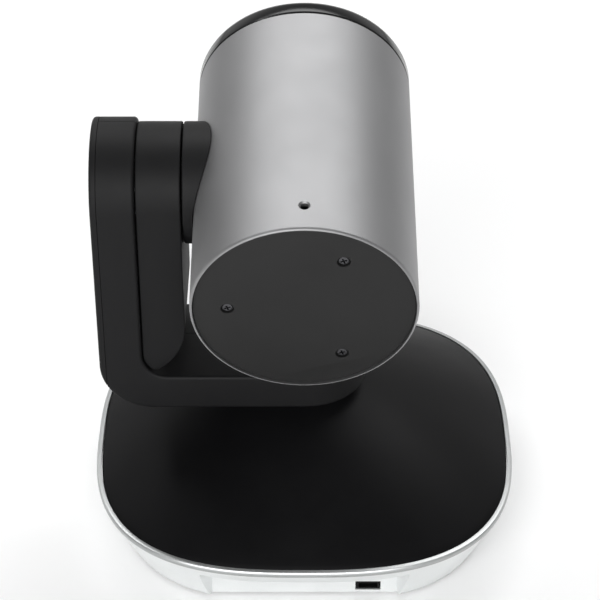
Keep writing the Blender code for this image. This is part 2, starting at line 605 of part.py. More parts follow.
def make_tower():
    bar_top = ARM_BOTTOM + BAR_HEIGHT
    depth = ARM_RADIUS + PAST
    high = TILT_Z + ARM_RADIUS + PAST
    side = [(BAND_INNER_X - GAP, high), (TOWER_INNER_X, high)]
    side += arc((TOWER_INNER_X + TOWER_RADIUS, bar_top + TOWER_FOOT_RISE), TOWER_RADIUS,
                180.0, TOWER_FOOT_ANGLE, 8)
    side += arc((BAND_INNER_X - ARM_INNER_CORNER, bar_top + ARM_INNER_CORNER), ARM_INNER_CORNER - GAP,
                TOWER_CORNER_ANGLE, 0.0, 5)
    tower = place("tower_cover", extruded(side, -depth, depth, UPRIGHT_TO_Y), CHARCOAL, pan_axis)
    outline = extruded(stadium(TOWER_RADIUS, TILT_Z, 0.0), 0.0, ARM_OUTER_X, UPRIGHT_TO_X)
    combine(tower, "INTERSECT", outline, "top")
    hollow = extruded(stadium(TOWER_RADIUS - WALL, TILT_Z, TOWER_HOLLOW_BOTTOM), TOWER_INNER_X + WALL,
                      ARM_OUTER_X, UPRIGHT_TO_X)
    combine(tower, "DIFFERENCE", hollow, "hollow")
    hole = rod(TILT_SHAFT_RADIUS + 2 * GAP, 0.0, ARM_OUTER_X, ROUND_SMALL, TURN_FOR_X)
    combine(tower, "DIFFERENCE", hole, "shaft", (0.0, 0.0, TILT_Z))


def make_arm_frame():
    """The bent plate inside the arm, with the tilt bearing and the tilt motor that it carries."""
    floor = ARM_BOTTOM + WALL + FRAME_LIFT
    plate_far = FRAME_PLATE_X + FRAME_THICKNESS
    plate_top = TILT_Z + FRAME_TOP_SHARE * ARM_RADIUS
    outline = [(FRAME_END_X, floor), (plate_far - FRAME_SLOPE, floor), (plate_far, floor + FRAME_SLOPE),
               (plate_far, plate_top), (FRAME_PLATE_X, plate_top),
               (FRAME_PLATE_X, floor + FRAME_SLOPE + FRAME_BEND),
               (plate_far - FRAME_SLOPE - FRAME_BEND, floor + FRAME_THICKNESS),
               (FRAME_END_X, floor + FRAME_THICKNESS)]
    bent_plate = extruded(outline, -FRAME_HALF_WIDTH, FRAME_HALF_WIDTH, UPRIGHT_TO_Y)
    frame = place("arm_frame", bent_plate, STEEL, pan_axis)
    hub = rod(TILT_HUB_RADIUS, FRAME_PLATE_X - TILT_BEARING_REACH - MM, FRAME_PLATE_X + MM, ROUND_MEDIUM,
              TURN_FOR_X)
    combine(frame, "UNION", hub, "hub", (0.0, 0.0, TILT_Z))
    bore = rod(TILT_BEARING_RADIUS + GAP, 0.0, ARM_OUTER_X, ROUND_MEDIUM, TURN_FOR_X)
    combine(frame, "DIFFERENCE", bore, "bore", (0.0, 0.0, TILT_Z))
    combine(frame, "DIFFERENCE", rod(SHAFT_BORE + MM, 0.0, floor + PAST, ROUND_SMALL), "cable_hole")
    bearing = ring(TILT_SHAFT_RADIUS + GAP, TILT_BEARING_RADIUS, FRAME_PLATE_X - TILT_BEARING_REACH,
                   FRAME_PLATE_X + FRAME_THICKNESS - MM / 2, ROUND_MEDIUM, TURN_FOR_X)
    place("tilt_bearing", bearing, STEEL, pan_axis, (0, 0, TILT_Z))

    motor_z = TILT_Z - TILT_DISTANCE
    motor_hole = rod(TILT_MOTOR_BOSS + GAP, 0.0, ARM_OUTER_X, ROUND_SMALL, TURN_FOR_X)
    combine(frame, "DIFFERENCE", motor_hole, "motor_boss", (0.0, 0.0, motor_z))
    motor_face = FRAME_PLATE_X - GAP
    motor_back = motor_face - TILT_MOTOR_LENGTH
    motor = turned([(0.0, motor_back), (TILT_MOTOR_RADIUS, motor_back), (TILT_MOTOR_RADIUS, motor_face),
                    (TILT_MOTOR_BOSS, motor_face), (TILT_MOTOR_BOSS, TILT_GEAR_X - GAP),
                    (0.0, TILT_GEAR_X - GAP)], ROUND_MEDIUM, TURN_FOR_X)
    place("tilt_motor", motor, STEEL, pan_axis, (0.0, 0.0, motor_z))
    pinion_axis = empty("tilt_pinion_axis", (0.0, 0.0, motor_z), pan_axis)
    # Turned onto X, the outline's first axis points down, so the pinion's tooth gap faces the gear above.
    pinion_turn = math.pi + math.pi / TILT_PINION_TEETH
    pinion = extruded(gear_outline(TILT_PINION_TEETH, TILT_MODULE, pinion_turn), TILT_GEAR_X,
                      TILT_GEAR_X + TILT_GEAR_THICKNESS, TURN_FOR_X)
    place("tilt_pinion", pinion, BRASS, pinion_axis, (0, 0, 0), False)
    make_pan_shaft(frame, floor + FRAME_THICKNESS)


def make_pan_shaft(frame, frame_top):
    """The hollow pan shaft, its gear and collar, and the screws that hold the arm's frame to its flange."""
    flange_low = ARM_BOTTOM + WALL + GAP
    flange_top = flange_low + FLANGE_THICKNESS
    shaft_low = CHASSIS_Z - CHASSIS_THICKNESS
    outline = [(SHAFT_BORE, shaft_low), (SHAFT_RADIUS, shaft_low), (SHAFT_RADIUS, flange_low),
               (FLANGE_RADIUS, flange_low), (FLANGE_RADIUS, flange_top), (SHAFT_BORE, flange_top)]
    shaft = place("pan_shaft", turned(outline, ROUND_MEDIUM), STEEL, pan_axis)
    teeth = extruded(gear_outline(PAN_TEETH, PAN_MODULE, PAN_MOTOR_ANGLE), PAN_GEAR_Z,
                     PAN_GEAR_Z + PAN_GEAR_THICKNESS)
    gear = place("pan_gear", teeth, GEAR_WHITE, pan_axis, (0, 0, 0), False)
    combine(gear, "DIFFERENCE", rod(SHAFT_RADIUS + GAP, 0.0, ARM_BOTTOM, ROUND_MEDIUM), "bore")
    collar = ring(SHAFT_RADIUS + GAP, DOME_HOLE_RADIUS - COLLAR_CLEARANCE, ARM_BOTTOM - GAP - COLLAR_DROP,
                  ARM_BOTTOM - GAP, ROUND_MEDIUM)
    place("pan_collar", collar, CHARCOAL, pan_axis)
    for i in range(3):
        a = math.radians(60 + 120 * i)
        x, y = SHAFT_SCREW_CIRCLE * math.cos(a), SHAFT_SCREW_CIRCLE * math.sin(a)
        hole = SHAFT_SCREW_SHANK + GAP
        combine(frame, "DIFFERENCE", rod(hole, 0.0, frame_top + MM, ROUND_SMALL), f"screw_{i + 1}",
                (x, y, 0.0))
        combine(shaft, "DIFFERENCE", rod(hole, flange_low - MM, flange_top + MM, ROUND_SMALL),
                f"screw_{i + 1}", (x, y, 0.0))
        screw(f"shaft_screw_{i + 1}", STEEL, SHAFT_SCREW_HEAD, SHAFT_SCREW_SHANK, SHAFT_SCREW_LENGTH, None,
              pan_axis, (x, y, frame_top + GAP))


# Head -------------------------------------------------------------------------------------------------

def head_turned(name, profile, finish, sides=ROUND_MEDIUM):
    """A turned head piece. The profile holds (radius, y) points."""
    return place(name, turned(profile, sides, TURN_FOR_Y), finish, tilt_axis)


def head_cut(target, bm, label, at=(0.0, 0.0, 0.0)):
    """Cut a head piece with a shape placed in the head's own frame."""
    combine(target, "DIFFERENCE", bm, label, at, tilt_axis)


def make_barrel():
    bore = BARREL_RADIUS - BARREL_WALL
    seat = BARREL_RADIUS - BARREL_LIP
    ease = 0.4 * MM
    tube = [(bore, BARREL_FRONT), (BARREL_RADIUS - ease, BARREL_FRONT), (BARREL_RADIUS, BARREL_FRONT + ease),
            (BARREL_RADIUS, BARREL_REAR - ease), (BARREL_RADIUS - ease, BARREL_REAR), (seat, BARREL_REAR),
            (seat, SHOULDER_Y), (bore, SHOULDER_Y)]
    barrel = head_turned("barrel_tube", tube, BRUSHED_METAL, ROUND_LARGE)
    head_cut(barrel, rod(PIN_HOLE_RADIUS, PAST, BARREL_RADIUS + PAST, ROUND_SMALL), "pin_hole",
             (0.0, BARREL_REAR - PIN_HOLE_INSET, 0.0))
    shaft_hole = TILT_SHAFT_RADIUS + GAP
    head_cut(barrel, rod(shaft_hole, PAST, BARREL_RADIUS + PAST, ROUND_SMALL, TURN_FOR_X), "shaft_hole")

    boss_low = BARREL_RADIUS / 2
    boss_high = TOWER_INNER_X - BOSS_CLEARANCE
    blank = rod(TOWER_RADIUS, boss_low, boss_high, ROUND_LARGE, TURN_FOR_X)
    boss = place("tilt_boss", blank, CHARCOAL, tilt_axis)
    head_cut(boss, rod(BARREL_RADIUS + GAP, -BARREL_REAR, BARREL_REAR, 2 * ROUND_LARGE, TURN_FOR_Y), "saddle")
    head_cut(boss, rod(shaft_hole, 0.0, TOWER_INNER_X, ROUND_SMALL, TURN_FOR_X), "bore")


def make_tilt_drive():
    """The tilt shaft with its gear, and the frame inside the head that it carries."""
    bore = BARREL_RADIUS - BARREL_WALL
    flange = bore - TILT_FLANGE_INSET
    flange_face = flange + TILT_FLANGE_THICKNESS
    shaft_end = TILT_GEAR_X + TILT_GEAR_THICKNESS + 2 * GAP
    spindle = [(0.0, flange), (TILT_FLANGE_RADIUS, flange), (TILT_FLANGE_RADIUS, flange_face),
               (TILT_SHAFT_RADIUS, flange_face), (TILT_SHAFT_RADIUS, shaft_end), (0.0, shaft_end)]
    place("tilt_shaft", turned(spindle, ROUND_MEDIUM, TURN_FOR_X), STEEL, tilt_axis)
    # The head is stored tilted, so the gear is turned back to keep a tooth facing the pinion below.
    outline = extruded(gear_outline(TILT_TEETH, TILT_MODULE, -REST_TILT), TILT_GEAR_X,
                       TILT_GEAR_X + TILT_GEAR_THICKNESS, TURN_FOR_X)
    gear = place("tilt_gear", outline, GEAR_WHITE, tilt_axis, (0, 0, 0), False)
    head_cut(gear, rod(TILT_SHAFT_RADIUS + GAP, 0.0, ARM_OUTER_X, ROUND_MEDIUM, TURN_FOR_X), "bore")

    wall_x = flange - GAP
    floor_z = HEAD_FRAME_DROP - bore
    outline = [(wall_x, TILT_FLANGE_RADIUS), (wall_x - HEAD_FRAME_WALL, TILT_FLANGE_RADIUS),
               (wall_x - HEAD_FRAME_WALL, floor_z / 2),
               (HEAD_FRAME_HALF - HEAD_FRAME_WALL / 2, floor_z + HEAD_FRAME_WALL),
               (-HEAD_FRAME_HALF, floor_z + HEAD_FRAME_WALL), (-HEAD_FRAME_HALF, floor_z),
               (HEAD_FRAME_HALF, floor_z), (wall_x, floor_z / 2 - HEAD_FRAME_WALL / 3)]
    frame = extruded(outline, BARREL_FRONT + 2.4 * MM, BULKHEAD_Y - 6 * MM, UPRIGHT_TO_Y)
    place("head_frame", frame, STEEL, tilt_axis, (0, 0, 0), False)


def make_rear():
    bore = BARREL_RADIUS - BARREL_WALL
    outer = bore - GAP
    bulkhead_far = BULKHEAD_Y + BULKHEAD_THICKNESS
    disc = [(BULKHEAD_HOLE, BULKHEAD_Y), (outer, BULKHEAD_Y),
            (outer, bulkhead_far), (BULKHEAD_HOLE, bulkhead_far)]
    bulkhead = head_turned("rear_bulkhead", disc, STEEL)
    cap_face = BARREL_REAR - CAP_RECESS
    cap_radius = BARREL_RADIUS - BARREL_LIP - GAP
    cap_low = cap_face - CAP_THICKNESS
    ease = 0.2 * MM
    cap = head_turned("rear_cap", [(0.0, cap_low), (cap_radius, cap_low), (cap_radius, cap_face - ease),
                                   (cap_radius - ease, cap_face), (0.0, cap_face)], MATTE_GREY, ROUND_LARGE)
    head_seat = cap_face - CAP_POCKET_DEPTH
    hole = CAP_SCREW_SHANK + GAP
    for i in range(3):
        a = math.radians(120 * i)
        x, z = CAP_SCREW_CIRCLE * math.cos(a), CAP_SCREW_CIRCLE * math.sin(a)
        post = rod(POST_RADIUS, bulkhead_far - MM, SHOULDER_Y - GAP, ROUND_SMALL, TURN_FOR_Y)
        combine(bulkhead, "UNION", post, f"post_{i + 1}", (x, 0.0, z), tilt_axis)
        pilot = rod(hole, bulkhead_far + 2 * MM, BARREL_REAR + MM, ROUND_SMALL, TURN_FOR_Y)
        head_cut(bulkhead, pilot, f"pilot_{i + 1}", (x, 0.0, z))
        pocket = turned([(0.0, cap_low - MM), (hole, cap_low - MM), (hole, head_seat),
                         (CAP_SCREW_HEAD + GAP, head_seat), (CAP_SCREW_HEAD + GAP, BARREL_REAR + MM),
                         (0.0, BARREL_REAR + MM)], ROUND_SMALL, TURN_FOR_Y)
        head_cut(cap, pocket, f"pocket_{i + 1}", (x, 0.0, z))
        screw(f"rear_screw_{i + 1}", STEEL, CAP_SCREW_HEAD, CAP_SCREW_SHANK, CAP_SCREW_LENGTH, TURN_FOR_Y,
              tilt_axis, (x, head_seat + ease / 2, z))


def make_front():
    bore = BARREL_RADIUS - BARREL_WALL
    front = BARREL_FRONT - GAP - BEZEL_LENGTH
    plug = bore - GAP
    plug_inner = plug - BEZEL_PLUG_WALL
    plug_end = BARREL_FRONT + BEZEL_PLUG_LENGTH
    web = front + 2.6 * MM
    bezel = [(BEZEL_OPENING, front + 1.6 * MM), (BEZEL_OPENING + 2 * MM, front),
             (BARREL_RADIUS - 2 * MM, front), (BARREL_RADIUS - 0.7 * MM, front + 0.6 * MM),
             (BARREL_RADIUS, front + 1.8 * MM), (BARREL_RADIUS, BARREL_FRONT - GAP), (plug, BARREL_FRONT - GAP),
             (plug, plug_end), (plug_inner, plug_end), (plug_inner, web), (BEZEL_OPENING, web)]
    head_turned("front_bezel", bezel, GLOSS_BLACK, ROUND_LARGE)

    seat = LENS_TUBE_FRONT + LENS_SEAT_DEPTH
    tube_front = [(LENS_BORE, LENS_TUBE_REAR), (LENS_TUBE_RADIUS, LENS_TUBE_REAR),
                  (LENS_TUBE_RADIUS, LENS_TUBE_FRONT + 11 * MM), (LENS_MOUTH_RADIUS, LENS_TUBE_FRONT + 9 * MM),
                  (LENS_MOUTH_RADIUS, LENS_TUBE_FRONT), (LENS_RADIUS + GAP, LENS_TUBE_FRONT),
                  (LENS_RADIUS + GAP, seat), (LENS_BORE, seat)]
    head_turned("lens_barrel", tube_front, GLOSS_BLACK)
    glass_back = seat - GAP
    angles = [math.radians(a) for a in range(0, 91, 18)]
    dome = [(LENS_RADIUS * math.sin(a), LENS_TUBE_FRONT - LENS_BULGE * math.cos(a)) for a in angles]
    head_turned("front_lens", [(0.0, glass_back), *dome, (LENS_RADIUS, glass_back)], LENS_GLASS)
    ring_inner = LENS_RADIUS + GAP
    ring_high = LENS_TUBE_FRONT - GAP
    ring_low = LENS_TUBE_FRONT - LENS_RING_DEPTH
    trim = ring(ring_inner, ring_inner + LENS_RING_WIDTH, ring_low, ring_high, ROUND_MEDIUM, TURN_FOR_Y)
    place("lens_ring", trim, GLOSS_BLACK, tilt_axis)


def make_optics():
    for i, sign in enumerate((1, -1)):
        guide = rod(GUIDE_ROD_RADIUS, LENS_TUBE_FRONT + 7 * MM, LENS_TUBE_REAR - MM, ROUND_SMALL, TURN_FOR_Y)
        place(f"guide_rod_{i + 1}", guide, STEEL, tilt_axis, (sign * GUIDE_ROD_PLACE, 0.0, 0.0))
    half = CARRIER_THICKNESS / 2
    lens_edge = CARRIER_BORE - GAP
    for label, where in (("zoom", ZOOM_PLACE), ("focus", FOCUS_PLACE)):
        axis_point = empty(f"{label}_axis", (0.0, where, 0.0), tilt_axis)
        holder = ring(CARRIER_BORE, LENS_BORE - CARRIER_CLEARANCE, -half, half, ROUND_MEDIUM, TURN_FOR_Y)
        carrier = place(f"{label}_carrier", holder, CHARCOAL, axis_point)
        for i, sign in enumerate((1, -1)):
            combine(carrier, "DIFFERENCE", rod(GUIDE_ROD_RADIUS + GAP, -PAST, PAST, ROUND_SMALL, TURN_FOR_Y),
                    f"rod_{i + 1}", (sign * GUIDE_ROD_PLACE, 0.0, 0.0), axis_point)
        rim, shoulder, crown = INNER_LENS_HALVES
        lens = [(0.0, crown), (lens_edge * 0.6, shoulder), (lens_edge, rim), (lens_edge, -rim),
                (lens_edge * 0.6, -shoulder), (0.0, -crown)]
        place(f"{label}_lens", turned(lens, ROUND_MEDIUM, TURN_FOR_Y), LENS_GLASS, axis_point)
    sensor_y = LENS_TUBE_REAR + 0.4 * MM
    board_y = sensor_y + SENSOR_THICKNESS + GAP
    wide, tall = SENSOR_HALF
    sensor = box((-wide, sensor_y, -tall), (wide, sensor_y + SENSOR_THICKNESS, tall))
    place("image_sensor", sensor, SATIN_BLACK, tilt_axis, (0, 0, 0), False)
    board = box((-SENSOR_BOARD_HALF, board_y, -SENSOR_BOARD_HALF),
                (SENSOR_BOARD_HALF, board_y + BOARD_THICKNESS, SENSOR_BOARD_HALF))
    place("sensor_board", board, BOARD_GREEN, tilt_axis, (0, 0, 0), False)


make_bowl()
make_rim_band()
make_dome()
make_bottom()
make_pan_drive()
make_electronics()
make_arm()
make_tower()
make_arm_frame()
make_barrel()
make_tilt_drive()
make_rear()
make_front()
make_optics()
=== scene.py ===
"""Looks for a pan-tilt-zoom conference camera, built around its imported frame."""

import json
import math

import bmesh
import bpy
from mathutils import Matrix, Vector


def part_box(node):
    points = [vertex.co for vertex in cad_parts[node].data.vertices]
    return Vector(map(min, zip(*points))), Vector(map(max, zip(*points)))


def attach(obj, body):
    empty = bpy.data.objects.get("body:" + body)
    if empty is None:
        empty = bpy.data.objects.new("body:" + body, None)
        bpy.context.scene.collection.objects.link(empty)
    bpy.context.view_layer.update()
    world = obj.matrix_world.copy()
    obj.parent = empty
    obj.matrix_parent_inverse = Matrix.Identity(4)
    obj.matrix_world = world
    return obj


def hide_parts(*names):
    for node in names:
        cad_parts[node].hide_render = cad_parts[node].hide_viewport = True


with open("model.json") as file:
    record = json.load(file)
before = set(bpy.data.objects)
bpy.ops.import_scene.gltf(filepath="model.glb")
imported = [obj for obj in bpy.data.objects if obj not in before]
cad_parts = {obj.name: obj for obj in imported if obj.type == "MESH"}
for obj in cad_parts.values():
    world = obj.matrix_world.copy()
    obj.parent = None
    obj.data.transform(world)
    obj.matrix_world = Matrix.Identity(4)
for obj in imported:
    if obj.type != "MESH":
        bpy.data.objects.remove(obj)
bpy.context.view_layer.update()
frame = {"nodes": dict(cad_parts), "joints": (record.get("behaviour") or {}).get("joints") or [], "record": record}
MM = 0.001
scene = bpy.context.scene

# Camera, floor and studio light ---------------------------------------------------------------------------
# The object stands on a pale flat floor and is seen from behind and above. A softbox high in front gives the
# barrel its broad centre highlight. The surroundings are pale low down and dim overhead and to the sides, so
# upright faces are bright and the black dome stays dark.

camera_data = bpy.data.cameras.new("camera")
camera_data.lens = 133.9
camera_data.sensor_width = 36.0
camera_data.shift_x = -0.0073
camera_data.shift_y = 0.0532
camera_data.clip_start = 0.01
camera = bpy.data.objects.new("camera", camera_data)
LOOK_AT = Vector((0.0, 0.0, 0.060))
CAMERA_RISE = math.radians(36.52)
CAMERA_DISTANCE = 0.6822
FLOOR_HALF = 4.0
FLOOR_GAP = 0.2 * MM  # keeps the floor just clear of the rubber feet
camera.location = LOOK_AT + CAMERA_DISTANCE * Vector((0.0, math.cos(CAMERA_RISE), math.sin(CAMERA_RISE)))
camera.rotation_euler = (LOOK_AT - camera.location).to_track_quat("-Z", "Y").to_euler()
scene.collection.objects.link(camera)
scene.camera = camera
scene.view_settings.view_transform = "Standard"


def linear(hex_value):
    """The linear colour, with alpha, of an sRGB hex value."""
    channels = [int(hex_value[i:i + 2], 16) / 255 for i in (1, 3, 5)]
    return [c / 12.92 if c <= 0.04045 else ((c + 0.055) / 1.055) ** 2.4 for c in channels] + [1.0]


def add(tree, kind, settings, **links):
    """Add a node. Settings name its properties or its inputs, and links name inputs and what feeds them."""
    made = tree.nodes.new(kind)
    for key, value in settings.items():
        if key in made.inputs.keys():
            made.inputs[key].default_value = value
        else:
            setattr(made, key, value)
    for key, source in links.items():
        tree.links.new(source, made.inputs[key.replace("_", " ")])
    return made


def new_material(name):
    """A node material, with its tree and its main shader."""
    made = bpy.data.materials.new(name)
    made.use_nodes = True
    return made, made.node_tree, made.node_tree.nodes["Principled BSDF"]


floor_bm = bmesh.new()
bmesh.ops.create_grid(floor_bm, x_segments=2, y_segments=2, size=FLOOR_HALF)
floor_mesh = bpy.data.meshes.new("floor")
floor_bm.to_mesh(floor_mesh)
floor_bm.free()
floor = bpy.data.objects.new("floor", floor_mesh)
floor.location.z = -FLOOR_GAP
scene.collection.objects.link(floor)
# Matt studio paper: near white and without any sheen, so it takes only a soft shadow.
paper, _, paper_shader = new_material("matte_studio_paper")
paper_shader.inputs["Base Color"].default_value = linear("#F6F6F6")
paper_shader.inputs["Roughness"].default_value = 0.9
floor_mesh.materials.append(paper)

world = bpy.data.worlds.new("studio")
scene.world = world
world.use_nodes = True
sky = world.node_tree
sky_place = add(sky, "ShaderNodeTexCoord", {}).outputs["Generated"]
sky_axes = add(sky, "ShaderNodeSeparateXYZ", {}, Vector=sky_place)
sky_ramp = add(sky, "ShaderNodeValToRGB", {}, Fac=sky_axes.outputs["Z"])
sky_ramp.color_ramp.elements[0].position = 0.28
sky_ramp.color_ramp.elements[0].color = linear("#F4F4F4")
sky_ramp.color_ramp.elements[1].position = 0.7
sky_ramp.color_ramp.elements[1].color = linear("#3C3C3C")
sideways = add(sky, "ShaderNodeMath", {"operation": "ABSOLUTE"})
sky.links.new(sky_axes.outputs["X"], sideways.inputs[0])
side_dim = add(sky, "ShaderNodeMapRange", {"From Min": 0.2, "From Max": 0.9, "To Min": 1.1, "To Max": 0.45},
               Value=sideways.outputs[0])
sky.links.new(sky_ramp.outputs["Color"], sky.nodes["Background"].inputs["Color"])
sky.links.new(side_dim.outputs["Result"], sky.nodes["Background"].inputs["Strength"])


def softbox(name, place, aim, width, height, power):
    """A rectangular light that faces a point."""
    data = bpy.data.lights.new(name, "AREA")
    data.shape = "RECTANGLE"
    data.size = width
    data.size_y = height
    data.energy = power
    made = bpy.data.objects.new(name, data)
    made.location = place
    made.rotation_euler = (Vector(aim) - Vector(place)).to_track_quat("-Z", "Y").to_euler()
    scene.collection.objects.link(made)


softbox("front_top", place=(0.0, -0.80, 1.30), aim=(0.0, 0.0, 0.12), width=2.4, height=0.6, power=24.0)
softbox("camera_side", place=(0.25, 1.60, 0.75), aim=(0.0, 0.0, 0.05), width=2.0, height=0.8, power=34.0)

# Barrel tube ----------------------------------------------------------------------------------------------
# The head's casing is one length of aluminium tube, bead blasted and clear anodised. Its back rim is turned
# down to a thin lip that holds the cap, and one pin hole is drilled through its top.

joints = {joint["name"]: joint for joint in frame["joints"]}
TILT_CENTRE = Vector(joints["tilt"]["pos_m"])
LENS_DIRECTION = Vector(joints["zoom_travel"]["axis"])
HEAD_TURN = Matrix.Rotation(-math.asin(LENS_DIRECTION.z), 4, "X")
HEAD = Matrix.Translation(TILT_CENTRE) @ HEAD_TURN
ALONG_Y = Matrix.Rotation(math.radians(-90.0), 4, "X")
ALONG_X = Matrix.Rotation(math.radians(90.0), 4, "Y")
CLEARANCE = 0.3 * MM
BARREL_RADIUS = 31.8 * MM
BARREL_BORE = BARREL_RADIUS - 1.6 * MM
BARREL_LIP = BARREL_RADIUS - 0.7 * MM
BARREL_REAR = 51.0 * MM
BARREL_FRONT = -38.4 * MM
CAP_FACE = BARREL_REAR - 0.6 * MM
CAP_BACK = CAP_FACE - 2.1 * MM
PIN_HOLE_RADIUS = 1.2 * MM
PIN_HOLE_Y = BARREL_REAR - 9.0 * MM
PIN_SINK_DEPTH = 0.5 * MM
PIN_SINK_WIDTH = 0.9 * MM
PIN_RING = 2.6 * MM  # rings either side of the pin hole keep its shading off the rest of the tube
OVERCUT = 0.4 * MM
DRILL_FROM, DRILL_TO = 20 * MM, 40 * MM
TILT_SHAFT_BORE = 4.3 * MM
TURN_STEPS = 160
JOIN_DISTANCE = 1e-7


def turned(profile, steps, *turns):
    """Spin a closed (radius, height) outline about Z, then apply the turns in the order given."""
    bm = bmesh.new()
    points = [bm.verts.new((radius, 0.0, height)) for radius, height in profile]
    edges = [bm.edges.new(pair) for pair in zip(points, points[1:] + points[:1])]
    bmesh.ops.spin(bm, geom=points + edges, cent=(0, 0, 0), axis=(0, 0, 1), angle=math.tau, steps=steps,
                   use_merge=True)
    bmesh.ops.remove_doubles(bm, verts=bm.verts, dist=JOIN_DISTANCE)
    bmesh.ops.dissolve_degenerate(bm, dist=JOIN_DISTANCE, edges=bm.edges)
    for turn in turns:
        bmesh.ops.transform(bm, matrix=turn, verts=bm.verts)
    bmesh.ops.recalc_face_normals(bm, faces=bm.faces)
    return bm


def rod(radius, low, high, steps, *turns):
    """A solid cylinder about Z from low to high, then turned."""
    bm = bmesh.new()
    bmesh.ops.create_cone(bm, cap_ends=True, segments=steps, radius1=radius, radius2=radius, depth=high - low)
    bmesh.ops.translate(bm, vec=(0.0, 0.0, (low + high) / 2), verts=bm.verts)
    for turn in turns:
        bmesh.ops.transform(bm, matrix=turn, verts=bm.verts)
    return bm


def block(low, high, *turns):
    """A solid box between two corners, then turned."""
    bm = bmesh.new()
    bmesh.ops.create_cube(bm, size=1.0)
    bmesh.ops.scale(bm, vec=Vector(high) - Vector(low), verts=bm.verts)
    bmesh.ops.translate(bm, vec=(Vector(high) + Vector(low)) / 2, verts=bm.verts)
    for turn in turns:
        bmesh.ops.transform(bm, matrix=turn, verts=bm.verts)
    return bm


def soften(bm, width, segments, where=None, sharper_than=30.0):
    """Round the edges that are sharper than an angle, and that the where test allows."""
    limit = math.radians(sharper_than)
    chosen = [e for e in bm.edges if len(e.link_faces) == 2 and e.calc_face_angle(0.0) > limit
              and (where is None or all(where(v.co) for v in e.verts))]
    bmesh.ops.bevel(bm, geom=chosen, offset=width, offset_type="OFFSET", segments=segments, profile=0.5,
                    affect="EDGES", material=-1, clamp_overlap=True)
    return bm


FLAT_WITHIN = 0.4  # degrees between faces that count as one flat


def carve(work, tool, operation="DIFFERENCE", tidy=True):
    """Cut, join or intersect one bmesh with another. Tidy joins up the flat faces that this splits."""
    made = []
    for bm in (work, tool):
        mesh = bpy.data.meshes.new("workpiece")
        bm.to_mesh(mesh)
        bm.free()
        made.append(bpy.data.objects.new("workpiece", mesh))
        scene.collection.objects.link(made[-1])
    step = made[0].modifiers.new("carve", "BOOLEAN")
    step.operation = operation
    step.solver = "EXACT"
    step.object = made[1]
    bpy.context.view_layer.update()
    shaped = made[0].evaluated_get(bpy.context.evaluated_depsgraph_get())
    result = bmesh.new()
    result.from_mesh(shaped.to_mesh())
    for obj in made:
        bpy.data.objects.remove(obj)
    if tidy:
        bmesh.ops.dissolve_limit(result, angle_limit=math.radians(FLAT_WITHIN), verts=result.verts,
                                 edges=result.edges)
    return result


def hold(bm, *planes):
    """Cut loops along planes, each a point and a normal, so the shading bends only at the eased edges."""
    for point, normal in planes:
        everything = list(bm.verts) + list(bm.edges) + list(bm.faces)
        bmesh.ops.bisect_plane(bm, geom=everything, plane_co=point, plane_no=normal)
    return bm


SHARP_FROM = 32.0  # degrees at which an edge is drawn crisp


def keep(name, bm, body, slot, finish, *replaced):
    """Make the piece, set it on its body and let it stand for the nodes it replaces."""
    mesh = bpy.data.meshes.new(name)
    bm.to_mesh(mesh)
    bm.free()
    mesh.materials.append(finish)
    mesh.shade_smooth()
    mesh.set_sharp_from_angle(angle=math.radians(SHARP_FROM))
    piece = bpy.data.objects.new(name, mesh)
    scene.collection.objects.link(piece)
    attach(piece, body)
    if replaced:
        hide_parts(*replaced)


CLOUD_SIZE = 18 * MM  # the slow wander of colour is about a thumbprint across
CLOUD_SHARE = 0.55
GRAIN_SHARE = 0.45


def grained(name, hex_dark, hex_light, roughness, grain_mm, bump_mm, metallic=0.0, specular=0.5, coat=0.0):
    """A finish whose colour and roughness wander slowly and whose surface carries a fine even grain."""
    made, tree, shader = new_material(name)
    place = add(tree, "ShaderNodeTexCoord", {}).outputs["Object"]
    cloud = add(tree, "ShaderNodeTexNoise", {"Scale": 1 / CLOUD_SIZE, "Detail": 3.0, "Roughness": 0.55},
                Vector=place)
    grain = add(tree, "ShaderNodeTexNoise", {"Scale": 1 / (grain_mm * MM), "Detail": 2.0, "Roughness": 0.6},
                Vector=place)
    mixed = add(tree, "ShaderNodeMath", {"operation": "MULTIPLY_ADD"})
    tree.links.new(grain.outputs["Fac"], mixed.inputs[0])
    mixed.inputs[1].default_value = GRAIN_SHARE
    slow_part = add(tree, "ShaderNodeMath", {"operation": "MULTIPLY"})
    tree.links.new(cloud.outputs["Fac"], slow_part.inputs[0])
    slow_part.inputs[1].default_value = CLOUD_SHARE
    tree.links.new(slow_part.outputs[0], mixed.inputs[2])
    ramp = add(tree, "ShaderNodeValToRGB", {}, Fac=mixed.outputs[0])
    ramp.color_ramp.elements[0].position = 0.35
    ramp.color_ramp.elements[0].color = linear(hex_dark)
    ramp.color_ramp.elements[1].position = 0.65
    ramp.color_ramp.elements[1].color = linear(hex_light)
    tree.links.new(ramp.outputs["Color"], shader.inputs["Base Color"])
    wander = add(tree, "ShaderNodeMapRange", {"From Min": 0.3, "From Max": 0.7, "To Min": roughness * 0.9,
                                              "To Max": roughness * 1.1}, Value=mixed.outputs[0])
    tree.links.new(wander.outputs["Result"], shader.inputs["Roughness"])
    bump = add(tree, "ShaderNodeBump", {"Strength": 0.5, "Distance": bump_mm * MM},
               Height=grain.outputs["Fac"])
    tree.links.new(bump.outputs["Normal"], shader.inputs["Normal"])
    shader.inputs["Metallic"].default_value = metallic
    if not metallic:
        shader.inputs["Specular IOR Level"].default_value = specular
    shader.inputs["Coat Weight"].default_value = coat
    return made


# Bead-blasted aluminium: an even, matt sparkle. Real blasting is finer than the 0.35 mm grain here, which is
# drawn coarse so that it shows.
blasted_aluminium = grained("blasted_aluminium", "#919192", "#959596", roughness=0.54, grain_mm=0.35,
                            bump_mm=0.014, metallic=1.0)

